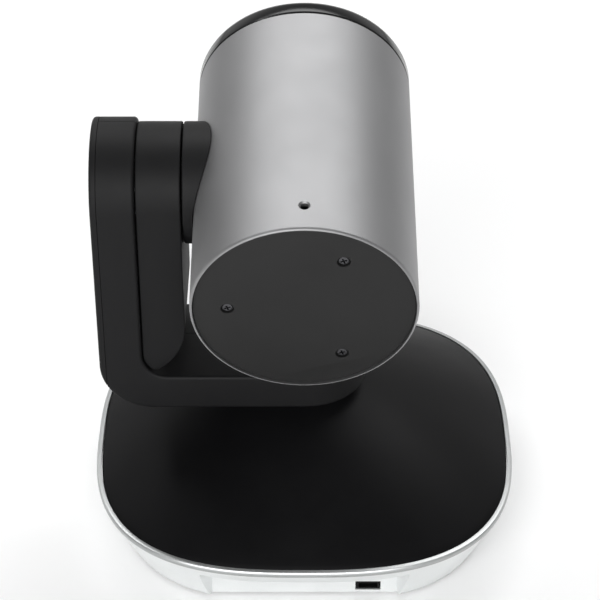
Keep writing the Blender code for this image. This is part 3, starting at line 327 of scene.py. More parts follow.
tube = turned([(BARREL_BORE, BARREL_FRONT), (BARREL_RADIUS - 0.3 * MM, BARREL_FRONT),
               (BARREL_RADIUS, BARREL_FRONT + 0.3 * MM), (BARREL_RADIUS, BARREL_FRONT + 0.6 * MM),
               (BARREL_RADIUS, -6 * MM), (BARREL_RADIUS, 6 * MM),
               (BARREL_RADIUS, PIN_HOLE_Y - PIN_RING), (BARREL_RADIUS, PIN_HOLE_Y + PIN_RING),
               (BARREL_RADIUS, BARREL_REAR - 1.0 * MM), (BARREL_RADIUS, BARREL_REAR - 0.7 * MM),
               (BARREL_RADIUS - 0.15 * MM, BARREL_REAR - 0.25 * MM), (BARREL_RADIUS - 0.45 * MM, BARREL_REAR),
               (BARREL_LIP, BARREL_REAR), (BARREL_LIP, CAP_BACK - CLEARANCE),
               (BARREL_BORE, CAP_BACK - CLEARANCE)], TURN_STEPS, ALONG_Y)
PIN_HOLE_SPOT = Matrix.Translation((0.0, PIN_HOLE_Y, 0.0))
countersink = turned([(0.0, BARREL_RADIUS - PIN_SINK_DEPTH),
                      (PIN_HOLE_RADIUS, BARREL_RADIUS - PIN_SINK_DEPTH),
                      (PIN_HOLE_RADIUS + PIN_SINK_WIDTH, BARREL_RADIUS + OVERCUT),
                      (0.0, BARREL_RADIUS + OVERCUT)], 40, PIN_HOLE_SPOT)
tube = carve(tube, rod(PIN_HOLE_RADIUS, DRILL_FROM, DRILL_TO, 40, PIN_HOLE_SPOT), tidy=False)
tube = carve(tube, countersink, tidy=False)
tube = carve(tube, rod(TILT_SHAFT_BORE, DRILL_FROM, DRILL_TO, 32, ALONG_X), tidy=False)
bmesh.ops.transform(tube, matrix=HEAD, verts=tube.verts)
keep("barrel_casing", tube, "head", "satin_metal", blasted_aluminium, "barrel_tube")

# Rear cap and its screws ----------------------------------------------------------------------------------
# A moulded dark grey disc closes the back of the barrel, set just inside the rim. Three blackened cross-head
# screws sit in pockets a third of a turn apart.

CAP_RADIUS = BARREL_LIP - 0.2 * MM
SCREW_CIRCLE = 21.3 * MM
SCREW_HEAD = 1.5 * MM
POCKET_RADIUS = SCREW_HEAD + 0.35 * MM
POCKET_FLOOR = CAP_FACE - 1.1 * MM
SCREW_SHANK = 1.0 * MM
SCREW_LENGTH = 6.2 * MM
CROSS_REACH, CROSS_HALF = 0.95 * MM, 0.24 * MM
CROSS_TURN = 20.0

# Spark-eroded ABS moulding: a dull grey grain that scatters light evenly.
eroded_grey_abs = grained("eroded_grey_abs", "#161616", "#1B1B1B", roughness=0.6, grain_mm=0.3,
                          bump_mm=0.02, specular=0.25)
# Blackened steel: dark, with a soft metal glint on the edges of the head.
blackened_steel = grained("blackened_steel", "#4A4A4C", "#5A5A5D", roughness=0.42, grain_mm=0.2,
                          bump_mm=0.005, metallic=1.0)

cap = turned([(0.0, CAP_BACK), (CAP_RADIUS, CAP_BACK), (CAP_RADIUS, CAP_FACE - 0.35 * MM),
              (CAP_RADIUS - 0.1 * MM, CAP_FACE - 0.1 * MM), (CAP_RADIUS - 0.35 * MM, CAP_FACE),
              (0.0, CAP_FACE)], TURN_STEPS, ALONG_Y)
for number in range(3):
    angle = math.radians(120.0 * number)
    spot = Matrix.Translation((SCREW_CIRCLE * math.cos(angle), 0.0, SCREW_CIRCLE * math.sin(angle)))
    pocket = turned([(0.0, POCKET_FLOOR), (POCKET_RADIUS, POCKET_FLOOR),
                     (POCKET_RADIUS, CAP_FACE - 0.15 * MM), (POCKET_RADIUS + 0.2 * MM, CAP_FACE + 0.1 * MM),
                     (0.0, CAP_FACE + 0.1 * MM)], 48, ALONG_Y, spot)
    cap = carve(cap, pocket)
    cap = carve(cap, rod(SCREW_SHANK + CLEARANCE, CAP_BACK - MM, POCKET_FLOOR + MM, 24, ALONG_Y, spot))
    screw = turned([(0.0, 0.62 * MM), (1.1 * MM, 0.62 * MM), (1.35 * MM, 0.52 * MM), (SCREW_HEAD, 0.25 * MM),
                    (SCREW_HEAD, 0.0), (SCREW_SHANK, 0.0), (SCREW_SHANK, 0.7 * MM - SCREW_LENGTH),
                    (0.6 * MM, -SCREW_LENGTH), (0.0, -SCREW_LENGTH)], 40)
    for quarter in (CROSS_TURN, CROSS_TURN + 90.0):
        spin = Matrix.Rotation(math.radians(quarter), 4, "Z")
        cross_arm = block((-CROSS_REACH, -CROSS_HALF, -0.2 * MM), (CROSS_REACH, CROSS_HALF, 2 * MM), spin)
        screw = carve(screw, cross_arm)
    lift = Matrix.Translation((0.0, POCKET_FLOOR + 0.05 * MM, 0.0))
    for turn in (ALONG_Y, lift, spot, HEAD):
        bmesh.ops.transform(screw, matrix=turn, verts=screw.verts)
    keep(f"cap_screw_{number + 1}", screw, "head", "screw_black", blackened_steel, f"rear_screw_{number + 1}")
bmesh.ops.transform(cap, matrix=HEAD, verts=cap.verts)
keep("barrel_back_cap", cap, "head", "matte_grey_plastic", eroded_grey_abs, "rear_cap")

# Front bezel, lens ring and lens --------------------------------------------------------------------------
# A polished black ring pushes into the front of the tube and frames the objective. The glass bulges forward
# inside a stepped ring, and a violet anti-reflection coat tints its face.

BEZEL_FRONT = BARREL_FRONT - CLEARANCE - 5.6 * MM
BEZEL_OPENING = 20.5 * MM
BEZEL_PLUG = BARREL_BORE - CLEARANCE
BEZEL_WALL = 2.6 * MM
PLUG_LENGTH = 3.5 * MM
PLUG_WALL = 1.7 * MM
LENS_RADIUS = 17.0 * MM
LENS_SEAT = -37.0 * MM
LENS_EDGE = 3.7 * MM
RING_WALL = 2.3 * MM
RING_DEPTH = 2.6 * MM
RING_STEPS = 5
STEP_WIDTH, STEP_DEPTH = 0.25 * MM, 0.46 * MM

# Polished polycarbonate: deep black with a clear coat that mirrors the room sharply.
polished_black = grained("polished_black_polycarbonate", "#060607", "#09090A", roughness=0.16, grain_mm=0.5,
                         bump_mm=0.001, specular=0.3)
# Anodised matt black metal, as inside a lens, so that no stray light comes back.
lens_black = grained("lens_black_anodising", "#0B0B0C", "#121213", roughness=0.5, grain_mm=0.25,
                     bump_mm=0.01, specular=0.35)

bezel = turned([(BEZEL_OPENING, BEZEL_FRONT + 1.9 * MM), (BEZEL_OPENING + 0.3 * MM, BEZEL_FRONT + 1.5 * MM),
                (BEZEL_OPENING + 2.2 * MM, BEZEL_FRONT + 0.25 * MM), (BEZEL_OPENING + 3.2 * MM, BEZEL_FRONT),
                (BARREL_RADIUS - 2.2 * MM, BEZEL_FRONT), (BARREL_RADIUS - 1.1 * MM, BEZEL_FRONT + 0.3 * MM),
                (BARREL_RADIUS - 0.35 * MM, BEZEL_FRONT + 1.0 * MM), (BARREL_RADIUS, BEZEL_FRONT + 2.0 * MM),
                (BARREL_RADIUS, BARREL_FRONT - 2 * CLEARANCE),
                (BARREL_RADIUS - 0.3 * MM, BARREL_FRONT - CLEARANCE),
                (BEZEL_PLUG, BARREL_FRONT - CLEARANCE), (BEZEL_PLUG, BARREL_FRONT + PLUG_LENGTH),
                (BEZEL_PLUG - PLUG_WALL, BARREL_FRONT + PLUG_LENGTH),
                (BEZEL_PLUG - PLUG_WALL, BEZEL_FRONT + BEZEL_WALL),
                (BEZEL_OPENING, BEZEL_FRONT + BEZEL_WALL)], TURN_STEPS, ALONG_Y, HEAD)
keep("polished_front_ring", bezel, "head", "gloss_black_plastic", polished_black, "front_bezel")

ring_wall = [(LENS_RADIUS + CLEARANCE, LENS_SEAT - CLEARANCE)]
for step in range(RING_STEPS):  # fine steps down the inside of the ring trap stray light
    inner = LENS_RADIUS + CLEARANCE + step * STEP_WIDTH
    deep = LENS_SEAT - CLEARANCE - (step + 1) * STEP_DEPTH
    ring_wall += [(inner, deep), (inner + STEP_WIDTH, deep)]
ring_wall += [(LENS_RADIUS + RING_WALL, LENS_SEAT - RING_DEPTH),
              (LENS_RADIUS + RING_WALL, LENS_SEAT - CLEARANCE)]
lens_ring = turned(ring_wall, TURN_STEPS, ALONG_Y, HEAD)
keep("stepped_lens_ring", lens_ring, "head", "gloss_black_plastic", lens_black, "lens_ring")

# Optical glass with a thin anti-reflection coat: clear, with a blue and violet cast in its reflections.
coated_glass, glass_tree, glass_shader = new_material("coated_optical_glass")
glass_shader.inputs["Roughness"].default_value = 0.015
glass_shader.inputs["IOR"].default_value = 1.62
glass_shader.inputs["Transmission Weight"].default_value = 0.92
glass_shader.inputs["Thin Film Thickness"].default_value = 420.0
glass_shader.inputs["Thin Film IOR"].default_value = 1.38
glass_place = add(glass_tree, "ShaderNodeTexCoord", {}).outputs["Object"]
glass_cloud = add(glass_tree, "ShaderNodeTexNoise", {"Scale": 1 / (12 * MM), "Detail": 1.0},
                  Vector=glass_place)
glass_tint = add(glass_tree, "ShaderNodeValToRGB", {}, Fac=glass_cloud.outputs["Fac"])
glass_tint.color_ramp.elements[0].color = linear("#B9C2E8")
glass_tint.color_ramp.elements[1].color = linear("#CDBBE6")
glass_tree.links.new(glass_tint.outputs["Color"], glass_shader.inputs["Base Color"])

DOME_DEPTH = 3.2 * MM
dome = [(LENS_RADIUS * math.sin(math.radians(a)), LENS_SEAT - DOME_DEPTH * math.cos(math.radians(a)))
        for a in range(0, 91, 6)]
lens = turned([(0.0, LENS_SEAT + LENS_EDGE), *dome, (LENS_RADIUS, LENS_SEAT + LENS_EDGE)], TURN_STEPS,
              ALONG_Y, HEAD)
keep("objective_lens", lens, "head", "lens_glass", coated_glass, "front_lens")

# Tilt boss ------------------------------------------------------------------------------------------------
# A moulded saddle fills the space between the barrel and the arm. It turns with the head on the tilt shaft,
# its inner face is hollowed to the tube's curve, and its rim is eased where it meets the tower.

BOSS_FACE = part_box("tilt_boss")[1].x
BOSS_RADIUS = 17.8 * MM
# Textured black ABS: the arm's charcoal grain, a little lighter where light rakes across it.
charcoal_abs = grained("textured_charcoal_abs", "#0B0B0C", "#0F0F10", roughness=0.6, grain_mm=0.32,
                       bump_mm=0.018, specular=0.19)

boss = soften(rod(BOSS_RADIUS, 18 * MM, BOSS_FACE, 144, ALONG_X), 0.5 * MM, 3, lambda p: p.x > 30 * MM,
              sharper_than=50.0)
boss = carve(boss, rod(BARREL_RADIUS + CLEARANCE, -60 * MM, 60 * MM, 256, ALONG_Y))
boss = carve(boss, rod(TILT_SHAFT_BORE, 10 * MM, 60 * MM, 32, ALONG_X))
boss = hold(boss, ((BOSS_FACE - 0.6 * MM, 0, 0), (1, 0, 0)))
bmesh.ops.transform(boss, matrix=HEAD, verts=boss.verts)
keep("saddle_boss", boss, "head", "charcoal_plastic", charcoal_abs, "tilt_boss")

# Pan arm --------------------------------------------------------------------------------------------------
# Two moulded halves meet on a seam along the arm and make an L that sweeps under the head and up its side.
# A thin cap closes the outer face, and a narrower tower cover fills the inner side up to the tilt axis.

ARM_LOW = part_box("arm_rear_shell")[0].z
BAR_TOP = ARM_LOW + 11.7 * MM
ARM_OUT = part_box("arm_side_cap")[1].x
CAP_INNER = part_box("arm_side_cap")[0].x
BAND_INNER = 48.4 * MM
ARM_RADIUS = 19.1 * MM
ARM_WALL = 1.6 * MM
OUTER_CORNER = 15.5 * MM
INNER_CORNER = 7.5 * MM
SEAM_Y = -3.0 * MM
SEAM_GAP = 0.1 * MM
PAN_SHAFT_BORE = 7.6 * MM
TOWER_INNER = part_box("tower_cover")[0].x
TOWER_RADIUS = 17.8 * MM
FAR = 90 * MM
TILT_HEIGHT = TILT_CENTRE.z
WIDE = 60 * MM  # a reach that clears the arm on either side
TALL = 200 * MM
MOTOR_ROOM_LOW = 72 * MM  # the motor room in the arm's upright starts at this height
# Stand a flat outline up: in the YZ plane and extruded along X, or in the XZ plane and extruded along Y.
UPRIGHT_TO_X = Matrix(((0, 0, 1, 0), (1, 0, 0, 0), (0, 1, 0, 0), (0, 0, 0, 1)))
UPRIGHT_TO_Y = Matrix(((1, 0, 0, 0), (0, 0, -1, 0), (0, 1, 0, 0), (0, 0, 0, 1)))


def arc(centre, radius, start, end, count):
    """Points on an arc between two angles in degrees."""
    angles = [math.radians(start + (end - start) * i / count) for i in range(count + 1)]
    return [(centre[0] + radius * math.cos(a), centre[1] + radius * math.sin(a)) for a in angles]


def extruded(outline, low, high, turn=Matrix.Identity(4)):
    """Extrude a flat outline from low to high along Z, then turn it."""
    bm = bmesh.new()
    face = bm.faces.new([bm.verts.new((x, y, low)) for x, y in outline])
    grown = bmesh.ops.extrude_face_region(bm, geom=[face])
    moved = [v for v in grown["geom"] if isinstance(v, bmesh.types.BMVert)]
    bmesh.ops.translate(bm, vec=(0.0, 0.0, high - low), verts=moved)
    bmesh.ops.transform(bm, matrix=turn, verts=bm.verts)
    bmesh.ops.recalc_face_normals(bm, faces=bm.faces)
    return bm


def stadium(radius, top, bottom):
    """An upright strip with a round top, as the arm looks from its side."""
    return [(-radius, bottom), (radius, bottom)] + arc((0.0, top), radius, 0.0, 180.0, 72)


def arm_band(inset, far_x):
    """The arm's L shape, shrunk by inset all round. A far_x above zero carries it past the outer face."""
    low, bar_top = ARM_LOW + inset, BAR_TOP - inset
    inner_x, outer_x = BAND_INNER + inset, ARM_OUT - inset
    corner, fillet = OUTER_CORNER - inset, INNER_CORNER + inset
    top = TILT_HEIGHT + WIDE
    side = [(-WIDE, low)] + arc((outer_x - corner, low + corner), corner, -90.0, 0.0, 32)
    if far_x:
        side.append((far_x, low + corner))
    side += [(far_x or outer_x, top), (inner_x, top)]
    side += arc((inner_x - fillet, bar_top + fillet), fillet, 0.0, -90.0, 24)
    side.append((-WIDE, bar_top))
    band = extruded(side, -40 * MM, 40 * MM, UPRIGHT_TO_Y)
    radius = ARM_RADIUS - inset
    rounded = extruded(stadium(radius, TILT_HEIGHT, -10 * MM), -80 * MM, FAR, UPRIGHT_TO_X)
    band = carve(band, rounded, "INTERSECT")
    end = [(120 * MM, radius + MM), (0.0, radius + MM)] + arc((0.0, 0.0), radius, 90.0, 270.0, 72)
    end += [(0.0, -radius - MM), (120 * MM, -radius - MM)]
    return carve(band, extruded(end, 0.0, TILT_HEIGHT + 80 * MM), "INTERSECT")


ARM_EASE = 1.0 * MM  # just past the width of the eased edges
ARM_LOOPS = [((BAND_INNER + ARM_EASE, 0, 0), (1, 0, 0)), ((0, ARM_RADIUS - ARM_EASE, 0), (0, 1, 0)),
             ((0, ARM_EASE - ARM_RADIUS, 0), (0, 1, 0)), ((0, 0, ARM_LOW + ARM_EASE), (0, 0, 1)),
             ((0, 0, BAR_TOP - ARM_EASE), (0, 0, 1)), ((ARM_OUT - ARM_EASE, 0, 0), (1, 0, 0))]


def softened_band():
    """The whole arm with its outer edges eased, ready to be parted."""
    return soften(arm_band(0.0, 0.0), 0.9 * MM, 4, sharper_than=40.0)


for name, low_y, high_y, replaced in (("arm_back_half", SEAM_Y + SEAM_GAP, WIDE, "arm_rear_shell"),
                                      ("arm_front_half", -WIDE, SEAM_Y - SEAM_GAP, "arm_front_shell")):
    part_of_arm = block((-FAR, low_y, 0.0), (CAP_INNER - 0.15 * MM, high_y, TALL))
    half = carve(softened_band(), part_of_arm, "INTERSECT")
    half = carve(half, arm_band(ARM_WALL, FAR))
    motor_room = stadium(TOWER_RADIUS - 2 * ARM_WALL, TILT_HEIGHT, MOTOR_ROOM_LOW)
    half = carve(half, extruded(motor_room, BAND_INNER - 8 * MM, 51 * MM, UPRIGHT_TO_X))
    half = carve(half, rod(PAN_SHAFT_BORE, 0.0, ARM_LOW + 4 * MM, 64))
    keep(name, hold(half, *ARM_LOOPS), "pan_arm", "charcoal_plastic", charcoal_abs, replaced)

side_cap = carve(softened_band(), block((CAP_INNER, -WIDE, 0.0), (FAR, WIDE, TALL)), "INTERSECT")
keep("arm_outer_cap", hold(side_cap, *ARM_LOOPS), "pan_arm", "charcoal_plastic", charcoal_abs, "arm_side_cap")

tower_side = [(BAND_INNER - CLEARANCE, TILT_HEIGHT + 40 * MM), (TOWER_INNER, TILT_HEIGHT + 40 * MM)]
tower_side += arc((TOWER_INNER + TOWER_RADIUS, BAR_TOP + 17 * MM), TOWER_RADIUS, 180.0, 238.0, 24)
tower_side += arc((BAND_INNER - INNER_CORNER, BAR_TOP + INNER_CORNER), INNER_CORNER - CLEARANCE, -52.0, 0.0,
                  16)
tower = extruded(tower_side, -40 * MM, 40 * MM, UPRIGHT_TO_Y)
tower = carve(tower, extruded(stadium(TOWER_RADIUS, TILT_HEIGHT, 0.0), 0.0, FAR, UPRIGHT_TO_X), "INTERSECT")
tower = soften(tower, 0.6 * MM, 3, sharper_than=40.0)
motor_room = stadium(TOWER_RADIUS - ARM_WALL, TILT_HEIGHT, MOTOR_ROOM_LOW)
tower = carve(tower, extruded(motor_room, TOWER_INNER + ARM_WALL, FAR, UPRIGHT_TO_X))
shaft_hole = rod(TILT_SHAFT_BORE + CLEARANCE, 0.0, WIDE, 32, ALONG_X, Matrix.Translation(TILT_CENTRE))
tower = carve(tower, shaft_hole)
TOWER_EASE = 0.7 * MM
tower = hold(tower, ((TOWER_INNER + TOWER_EASE, 0, 0), (1, 0, 0)), ((BAND_INNER - MM, 0, 0), (1, 0, 0)),
             ((0, TOWER_RADIUS - TOWER_EASE, 0), (0, 1, 0)), ((0, TOWER_EASE - TOWER_RADIUS, 0), (0, 1, 0)))
keep("tower_moulding", tower, "pan_arm", "charcoal_plastic", charcoal_abs, "tower_cover")

# Base: dome, rim band and bowl ----------------------------------------------------------------------------
# A satin black dome drops into a silver-painted bowl, with a raised silver band around the joint. The bowl
# tapers to its foot, and a splayed bay at the back holds the sockets.

BASE_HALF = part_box("rim_band")[1].x
BASE_POWER = 2.78
PLAN_STEPS = 224
BAND_LOW, BAND_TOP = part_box("rim_band")[0].z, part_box("rim_band")[1].z
BAND_INNER_HALF = BASE_HALF - 1.5 * MM
BOWL_LOW, BOWL_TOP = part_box("base_bowl")[0].z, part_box("base_bowl")[1].z
FOOT_HALF = 56.8 * MM
BOWL_TOP_HALF = 63.4 * MM
BOWL_WALL = 1.8 * MM
BOWL_SWELL = 0.5 * MM
BOWL_FOOT_EASE = 0.8 * MM
BOWL_RINGS = 12
DOME_HOLE = 15.0 * MM
DOME_RISE = 24.4 * MM
DOME_POWER = 1.8
DOME_WALL = 2.0 * MM
DOME_SKIRT = 1.8 * MM
DOME_RINGS = 40

# Satin black ABS dome: nearly black, and its low sheen pales only where it is seen edge on.
satin_black_abs = grained("satin_black_abs", "#0B0B0C", "#0F0F10", roughness=0.48, grain_mm=0.3,
                          bump_mm=0.012, specular=0.09)
# Silver paint on ABS: pale and finely grained, with the sheen of metal flake too small to draw.
silver_lacquer = grained("silver_flake_lacquer", "#DCDEDE", "#E4E6E6", roughness=0.36, grain_mm=0.3,
                         bump_mm=0.004, metallic=0.6, coat=0.15)


def stacked(levels, closed=True):
    """Extrude a rounded square through (half width, power, height) levels. Closed joins last to first."""
    bm = bmesh.new()
    bmesh.ops.create_circle(bm, segments=PLAN_STEPS, radius=1.0, cap_ends=not closed)
    ring = list(bm.verts)
    edges = first_edges = list(bm.edges)
    for number, (half, power, height) in enumerate(levels):
        if number:
            grown = bmesh.ops.extrude_edge_only(bm, edges=edges)["geom"]
            ring = [g for g in grown if isinstance(g, bmesh.types.BMVert)]
            members = set(ring)
            touching = dict.fromkeys(e for v in ring for e in v.link_edges)
            edges = [e for e in touching if all(v in members for v in e.verts)]
        for v in ring:
            a = math.atan2(v.co.y, v.co.x)
            reach = half / (abs(math.cos(a)) ** power + abs(math.sin(a)) ** power) ** (1 / power)
            v.co = (reach * math.cos(a), reach * math.sin(a), height)
    if closed:
        bmesh.ops.bridge_loops(bm, edges=edges + first_edges)
    else:
        bmesh.ops.contextual_create(bm, geom=edges)
    bmesh.ops.recalc_face_normals(bm, faces=bm.faces)
    return bm


def dome_level(reach, drop, half):
    """The dome's level at a share of its half width: round at the hole, and squarer towards the rim."""
    power = 2.0 + (BASE_POWER - 2.0) * max(0.0, (reach - DOME_HOLE / half) / (1.0 - DOME_HOLE / half))
    return (half * reach, power, BAND_TOP + DOME_RISE * (1.0 - reach ** DOME_POWER) - drop)


cover_half = BAND_INNER_HALF - 0.25 * MM
hole_share = DOME_HOLE / cover_half
reaches = [hole_share + (1.0 - hole_share) * i / DOME_RINGS for i in range(DOME_RINGS + 1)]
levels = [dome_level(reach, 0.0, cover_half) for reach in reaches[:-1]]
edge_half, edge_power, edge_height = dome_level(1.0, 0.0, cover_half)
levels += [(edge_half - 0.3 * MM, edge_power, edge_height + 0.12 * MM),
           (edge_half, edge_power, edge_height - 0.2 * MM),
           (edge_half, edge_power, edge_height - DOME_SKIRT),
           (edge_half - DOME_WALL, edge_power, edge_height - DOME_SKIRT)]
# The hidden side needs only every fifth ring.
levels += [dome_level(reach, DOME_WALL, cover_half) for reach in reaches[-5::-5]]
keep("dome_cover", stacked(levels), "base", "satin_black_plastic", satin_black_abs, "base_top_cover")

band = [(BASE_HALF - 0.9 * MM, BAND_LOW), (BASE_HALF - 0.35 * MM, BAND_LOW + 0.15 * MM),
        (BASE_HALF - 0.08 * MM, BAND_LOW + 0.55 * MM), (BASE_HALF, BAND_LOW + 1.0 * MM),
        (BASE_HALF - 0.1 * MM, BAND_TOP - 0.5 * MM), (BASE_HALF - 0.4 * MM, BAND_TOP - 0.12 * MM),
        (BASE_HALF - 0.8 * MM, BAND_TOP), (BAND_INNER_HALF, BAND_TOP), (BAND_INNER_HALF, BAND_LOW)]
# The same lacquer with painted shade: its colour is a shade deeper, so the band draws a grey line between the pale
# bowl and the black dome.
shaded_band_lacquer = grained("silver_band_lacquer_painted_shade", "#A2A4A4", "#ABADAD", roughness=0.34, grain_mm=0.3,
                       bump_mm=0.004, metallic=0.7, coat=0.15)
band_levels = [(half, BASE_POWER, z) for half, z in band]
keep("silver_band", stacked(band_levels), "base", "silver_plastic", shaded_band_lacquer, "rim_band")


def bowl_half(z):
    """The bowl's half width at a height: a straight taper that swells a little half way up."""
    share = (z - BOWL_LOW) / (BOWL_TOP - BOWL_LOW)
    return FOOT_HALF + (BOWL_TOP_HALF - FOOT_HALF) * share + BOWL_SWELL * math.sin(math.pi * share)


BAY_BACK = 52.2 * MM
BAY_HALF = 27.8 * MM
BAY_HEIGHT = 14.0 * MM
BAY_REACH = 20 * MM
BAY_SPREAD = BAY_REACH * math.tan(math.radians(27.0))


def bay(extra, low, high):
    """The splayed connector bay, grown by extra on its closed sides."""
    half, back = BAY_HALF + extra, BAY_BACK - extra
    far, far_half = back + BAY_REACH, half + BAY_SPREAD
    return extruded([(-half, back), (half, back), (far_half, far), (-far_half, far)], low, high)


bowl_levels = [(bowl_half(BOWL_LOW) - BOWL_FOOT_EASE, BASE_POWER, BOWL_LOW),
               (bowl_half(BOWL_LOW) - 0.2 * MM, BASE_POWER, BOWL_LOW + 0.2 * MM)]
for i in range(BOWL_RINGS + 1):
    z = BOWL_LOW + BOWL_FOOT_EASE + (BOWL_TOP - BOWL_LOW - BOWL_FOOT_EASE) * i / BOWL_RINGS
    bowl_levels.append((bowl_half(z), BASE_POWER, z))
bowl = stacked(bowl_levels, closed=False)
hollow = stacked([(bowl_half(BOWL_LOW) - BOWL_WALL, BASE_POWER, BOWL_LOW - 2 * MM),
                  (BOWL_TOP_HALF - BOWL_WALL, BASE_POWER, BOWL_TOP + 2 * MM)], closed=False)
hollow = carve(hollow, bay(BOWL_WALL, -10 * MM, BAY_HEIGHT + BOWL_WALL))
bowl = carve(bowl, hollow)
bowl = carve(bowl, bay(0.0, -5 * MM, BAY_HEIGHT))
bowl = soften(bowl, 0.45 * MM, 3, lambda p: p.y > BAY_BACK + MM and p.z > BOWL_LOW + MM
              and abs(p.x) < BAY_HALF + BAY_SPREAD and p.z < BAY_HEIGHT + 0.1 * MM, sharper_than=35.0)
PORT_GAP = 0.2 * MM
for node in ("power_jack", "usb_port", "hub_port", "lock_plate"):
    low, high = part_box(node)
    opening_low = low - Vector((PORT_GAP, 3 * MM, PORT_GAP))
    opening_high = high + Vector((PORT_GAP, MM, PORT_GAP))
    bowl = carve(bowl, block(opening_low, opening_high))
FACING_FRONT = Matrix.Rotation(math.radians(90.0), 4, "X")
low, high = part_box("remote_window")
window_height = Matrix.Translation((0.0, 0.0, (low.z + high.z) / 2))
window_hole = rod((high.x - low.x) / 2 + PORT_GAP, 50 * MM, 80 * MM, 48, FACING_FRONT, window_height)
bowl = carve(bowl, window_hole)
keep("silver_bowl", bowl, "base", "silver_plastic", silver_lacquer, "base_bowl")

# Base fittings: sockets, lock slot, window ----------------------------------------------------------------
# Moulded nylon connectors stand behind the bay panel, with a pressed steel plate for a security lock. A
# smoked window over the remote-control receiver is pushed in at the front.

# Black glass-filled nylon, as connector shells are moulded: even and slightly satin.
socket_black = grained("socket_black_nylon", "#131314", "#1A1A1B", roughness=0.5, grain_mm=0.3,
                       bump_mm=0.01, specular=0.35)
# Pressed steel with painted shade: its colour is near black, the shade of the slot, so the slot and its plate read
# as one dark opening.
slot_shade_steel = grained("steel_painted_slot_shade", "#0B0B0C", "#111112", roughness=0.5, grain_mm=0.2, bump_mm=0.004,
                      metallic=0.6)
SOCKET_DEPTH = 8.0 * MM
MOUTH_DEPTH, MOUTH_WIDTH = 0.5 * MM, 0.6 * MM
PORT_EASE = 0.3 * MM
USB_HALF_WIDTH, USB_HALF_HEIGHT = 4.2 * MM, 1.6 * MM
TONGUE_HALF_WIDTH, TONGUE_HALF_HEIGHT = 3.2 * MM, 0.35 * MM
LOCK_HALF_WIDTH, LOCK_HALF_HEIGHT = 2.9 * MM, 0.95 * MM

for node, radius, pin in (("power_jack", 3.1 * MM, 0.8 * MM), ("hub_port", 3.4 * MM, 1.3 * MM)):
    low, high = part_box(node)
    spot = Matrix.Translation(((low.x + high.x) / 2, 0.0, (low.z + high.z) / 2))
    body = soften(block(low, high), PORT_EASE, 2)
    body = carve(body, rod(radius, high.y - SOCKET_DEPTH, high.y + MM, 64, ALONG_Y, spot))
    mouth = turned([(0.0, high.y - MOUTH_DEPTH), (radius, high.y - MOUTH_DEPTH),
                    (radius + MOUTH_WIDTH, high.y + 0.1 * MM), (0.0, high.y + 0.1 * MM)], 64, ALONG_Y, spot)
    body = carve(body, mouth)
    root, tip = high.y - SOCKET_DEPTH - MM, high.y - 1.2 * MM
    post = turned([(0.0, root), (pin, root), (pin, tip - 0.3 * MM), (pin - 0.25 * MM, tip), (0.0, tip)], 40,
                  ALONG_Y, spot)
    body = carve(body, post, "UNION")
    keep(f"{node}_shell", body, "base", "connector_black", socket_black, node)

low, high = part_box("usb_port")
middle = (low + high) / 2
shell = soften(block(low, high), PORT_EASE, 2)
shell = carve(shell, block((middle.x - USB_HALF_WIDTH, high.y - SOCKET_DEPTH, middle.z - USB_HALF_HEIGHT),
                           (middle.x + USB_HALF_WIDTH, high.y + MM, middle.z + USB_HALF_HEIGHT)))
tongue_low = (middle.x - TONGUE_HALF_WIDTH, high.y - SOCKET_DEPTH - MM, middle.z - TONGUE_HALF_HEIGHT)
tongue_high = (middle.x + TONGUE_HALF_WIDTH, high.y - MM, middle.z + TONGUE_HALF_HEIGHT)
tongue = soften(block(tongue_low, tongue_high), 0.12 * MM, 2)
keep("usb_port_shell", carve(shell, tongue, "UNION"), "base", "connector_black", socket_black, "usb_port")

low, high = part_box("lock_plate")
middle = (low + high) / 2
plate = soften(block(low, high), 0.2 * MM, 2)
slot_cut = soften(block((middle.x - LOCK_HALF_WIDTH, low.y - MM, middle.z - LOCK_HALF_HEIGHT),
                        (middle.x + LOCK_HALF_WIDTH, high.y + MM, middle.z + LOCK_HALF_HEIGHT)), 0.5 * MM, 4,
                  sharper_than=60.0)
keep("lock_slot_plate", carve(plate, slot_cut), "base", "steel", slot_shade_steel, "lock_plate")

# Smoked polycarbonate: near black, and glossy enough to show a small highlight.
smoked_window = grained("smoked_polycarbonate", "#07070A", "#0B0A0E", roughness=0.1, grain_mm=0.5,
                        bump_mm=0.001)
low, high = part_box("remote_window")
window_radius = (high.x - low.x) / 2
depth = high.y - low.y
lens_cap = turned([(0.0, 0.0), (window_radius, 0.0), (window_radius, depth - 0.5 * MM),
                   (window_radius - 0.2 * MM, depth - 0.25 * MM), (window_radius * 0.6, depth - 0.08 * MM),
                   (0.0, depth)], 72, FACING_FRONT,
                  Matrix.Translation(((low.x + high.x) / 2, high.y, (low.z + high.z) / 2)))
keep("receiver_window", lens_cap, "base", "gloss_black_plastic", smoked_window, "remote_window")

# Underside: plate, feet, screws and tripod socket ---------------------------------------------------------
# A moulded plate closes the bottom on four screws. Four rubber feet sit in round recesses, and a threaded
# brass insert takes a tripod screw. Its thread is drawn as stacked rings and not as a helix.

THROUGH = 20 * MM  # a reach that clears the plate
SHANK_SHARE = 0.55  # of the screw head's radius
HEAD_RECESS = 1.4 * MM
UNDER_CROSS_REACH, UNDER_CROSS_HALF = 1.1 * MM, 0.22 * MM

# Moulded rubber: dark grey and fully matt, with a faint uneven skin.
moulded_rubber = grained("moulded_rubber", "#1B1B1B", "#252525", roughness=0.85, grain_mm=0.35,
                         bump_mm=0.03, specular=0.25)
# Turned steel: grey and bright, with a broad soft reflection.
turned_steel = grained("turned_steel", "#8E8F92", "#A2A3A6", roughness=0.3, grain_mm=0.2, bump_mm=0.004,
                       metallic=1.0)
# Turned brass: yellow metal, a little brighter than the steel.
turned_brass = grained("turned_brass", "#B8923F", "#C9A458", roughness=0.28, grain_mm=0.25, bump_mm=0.004,
                       metallic=1.0)

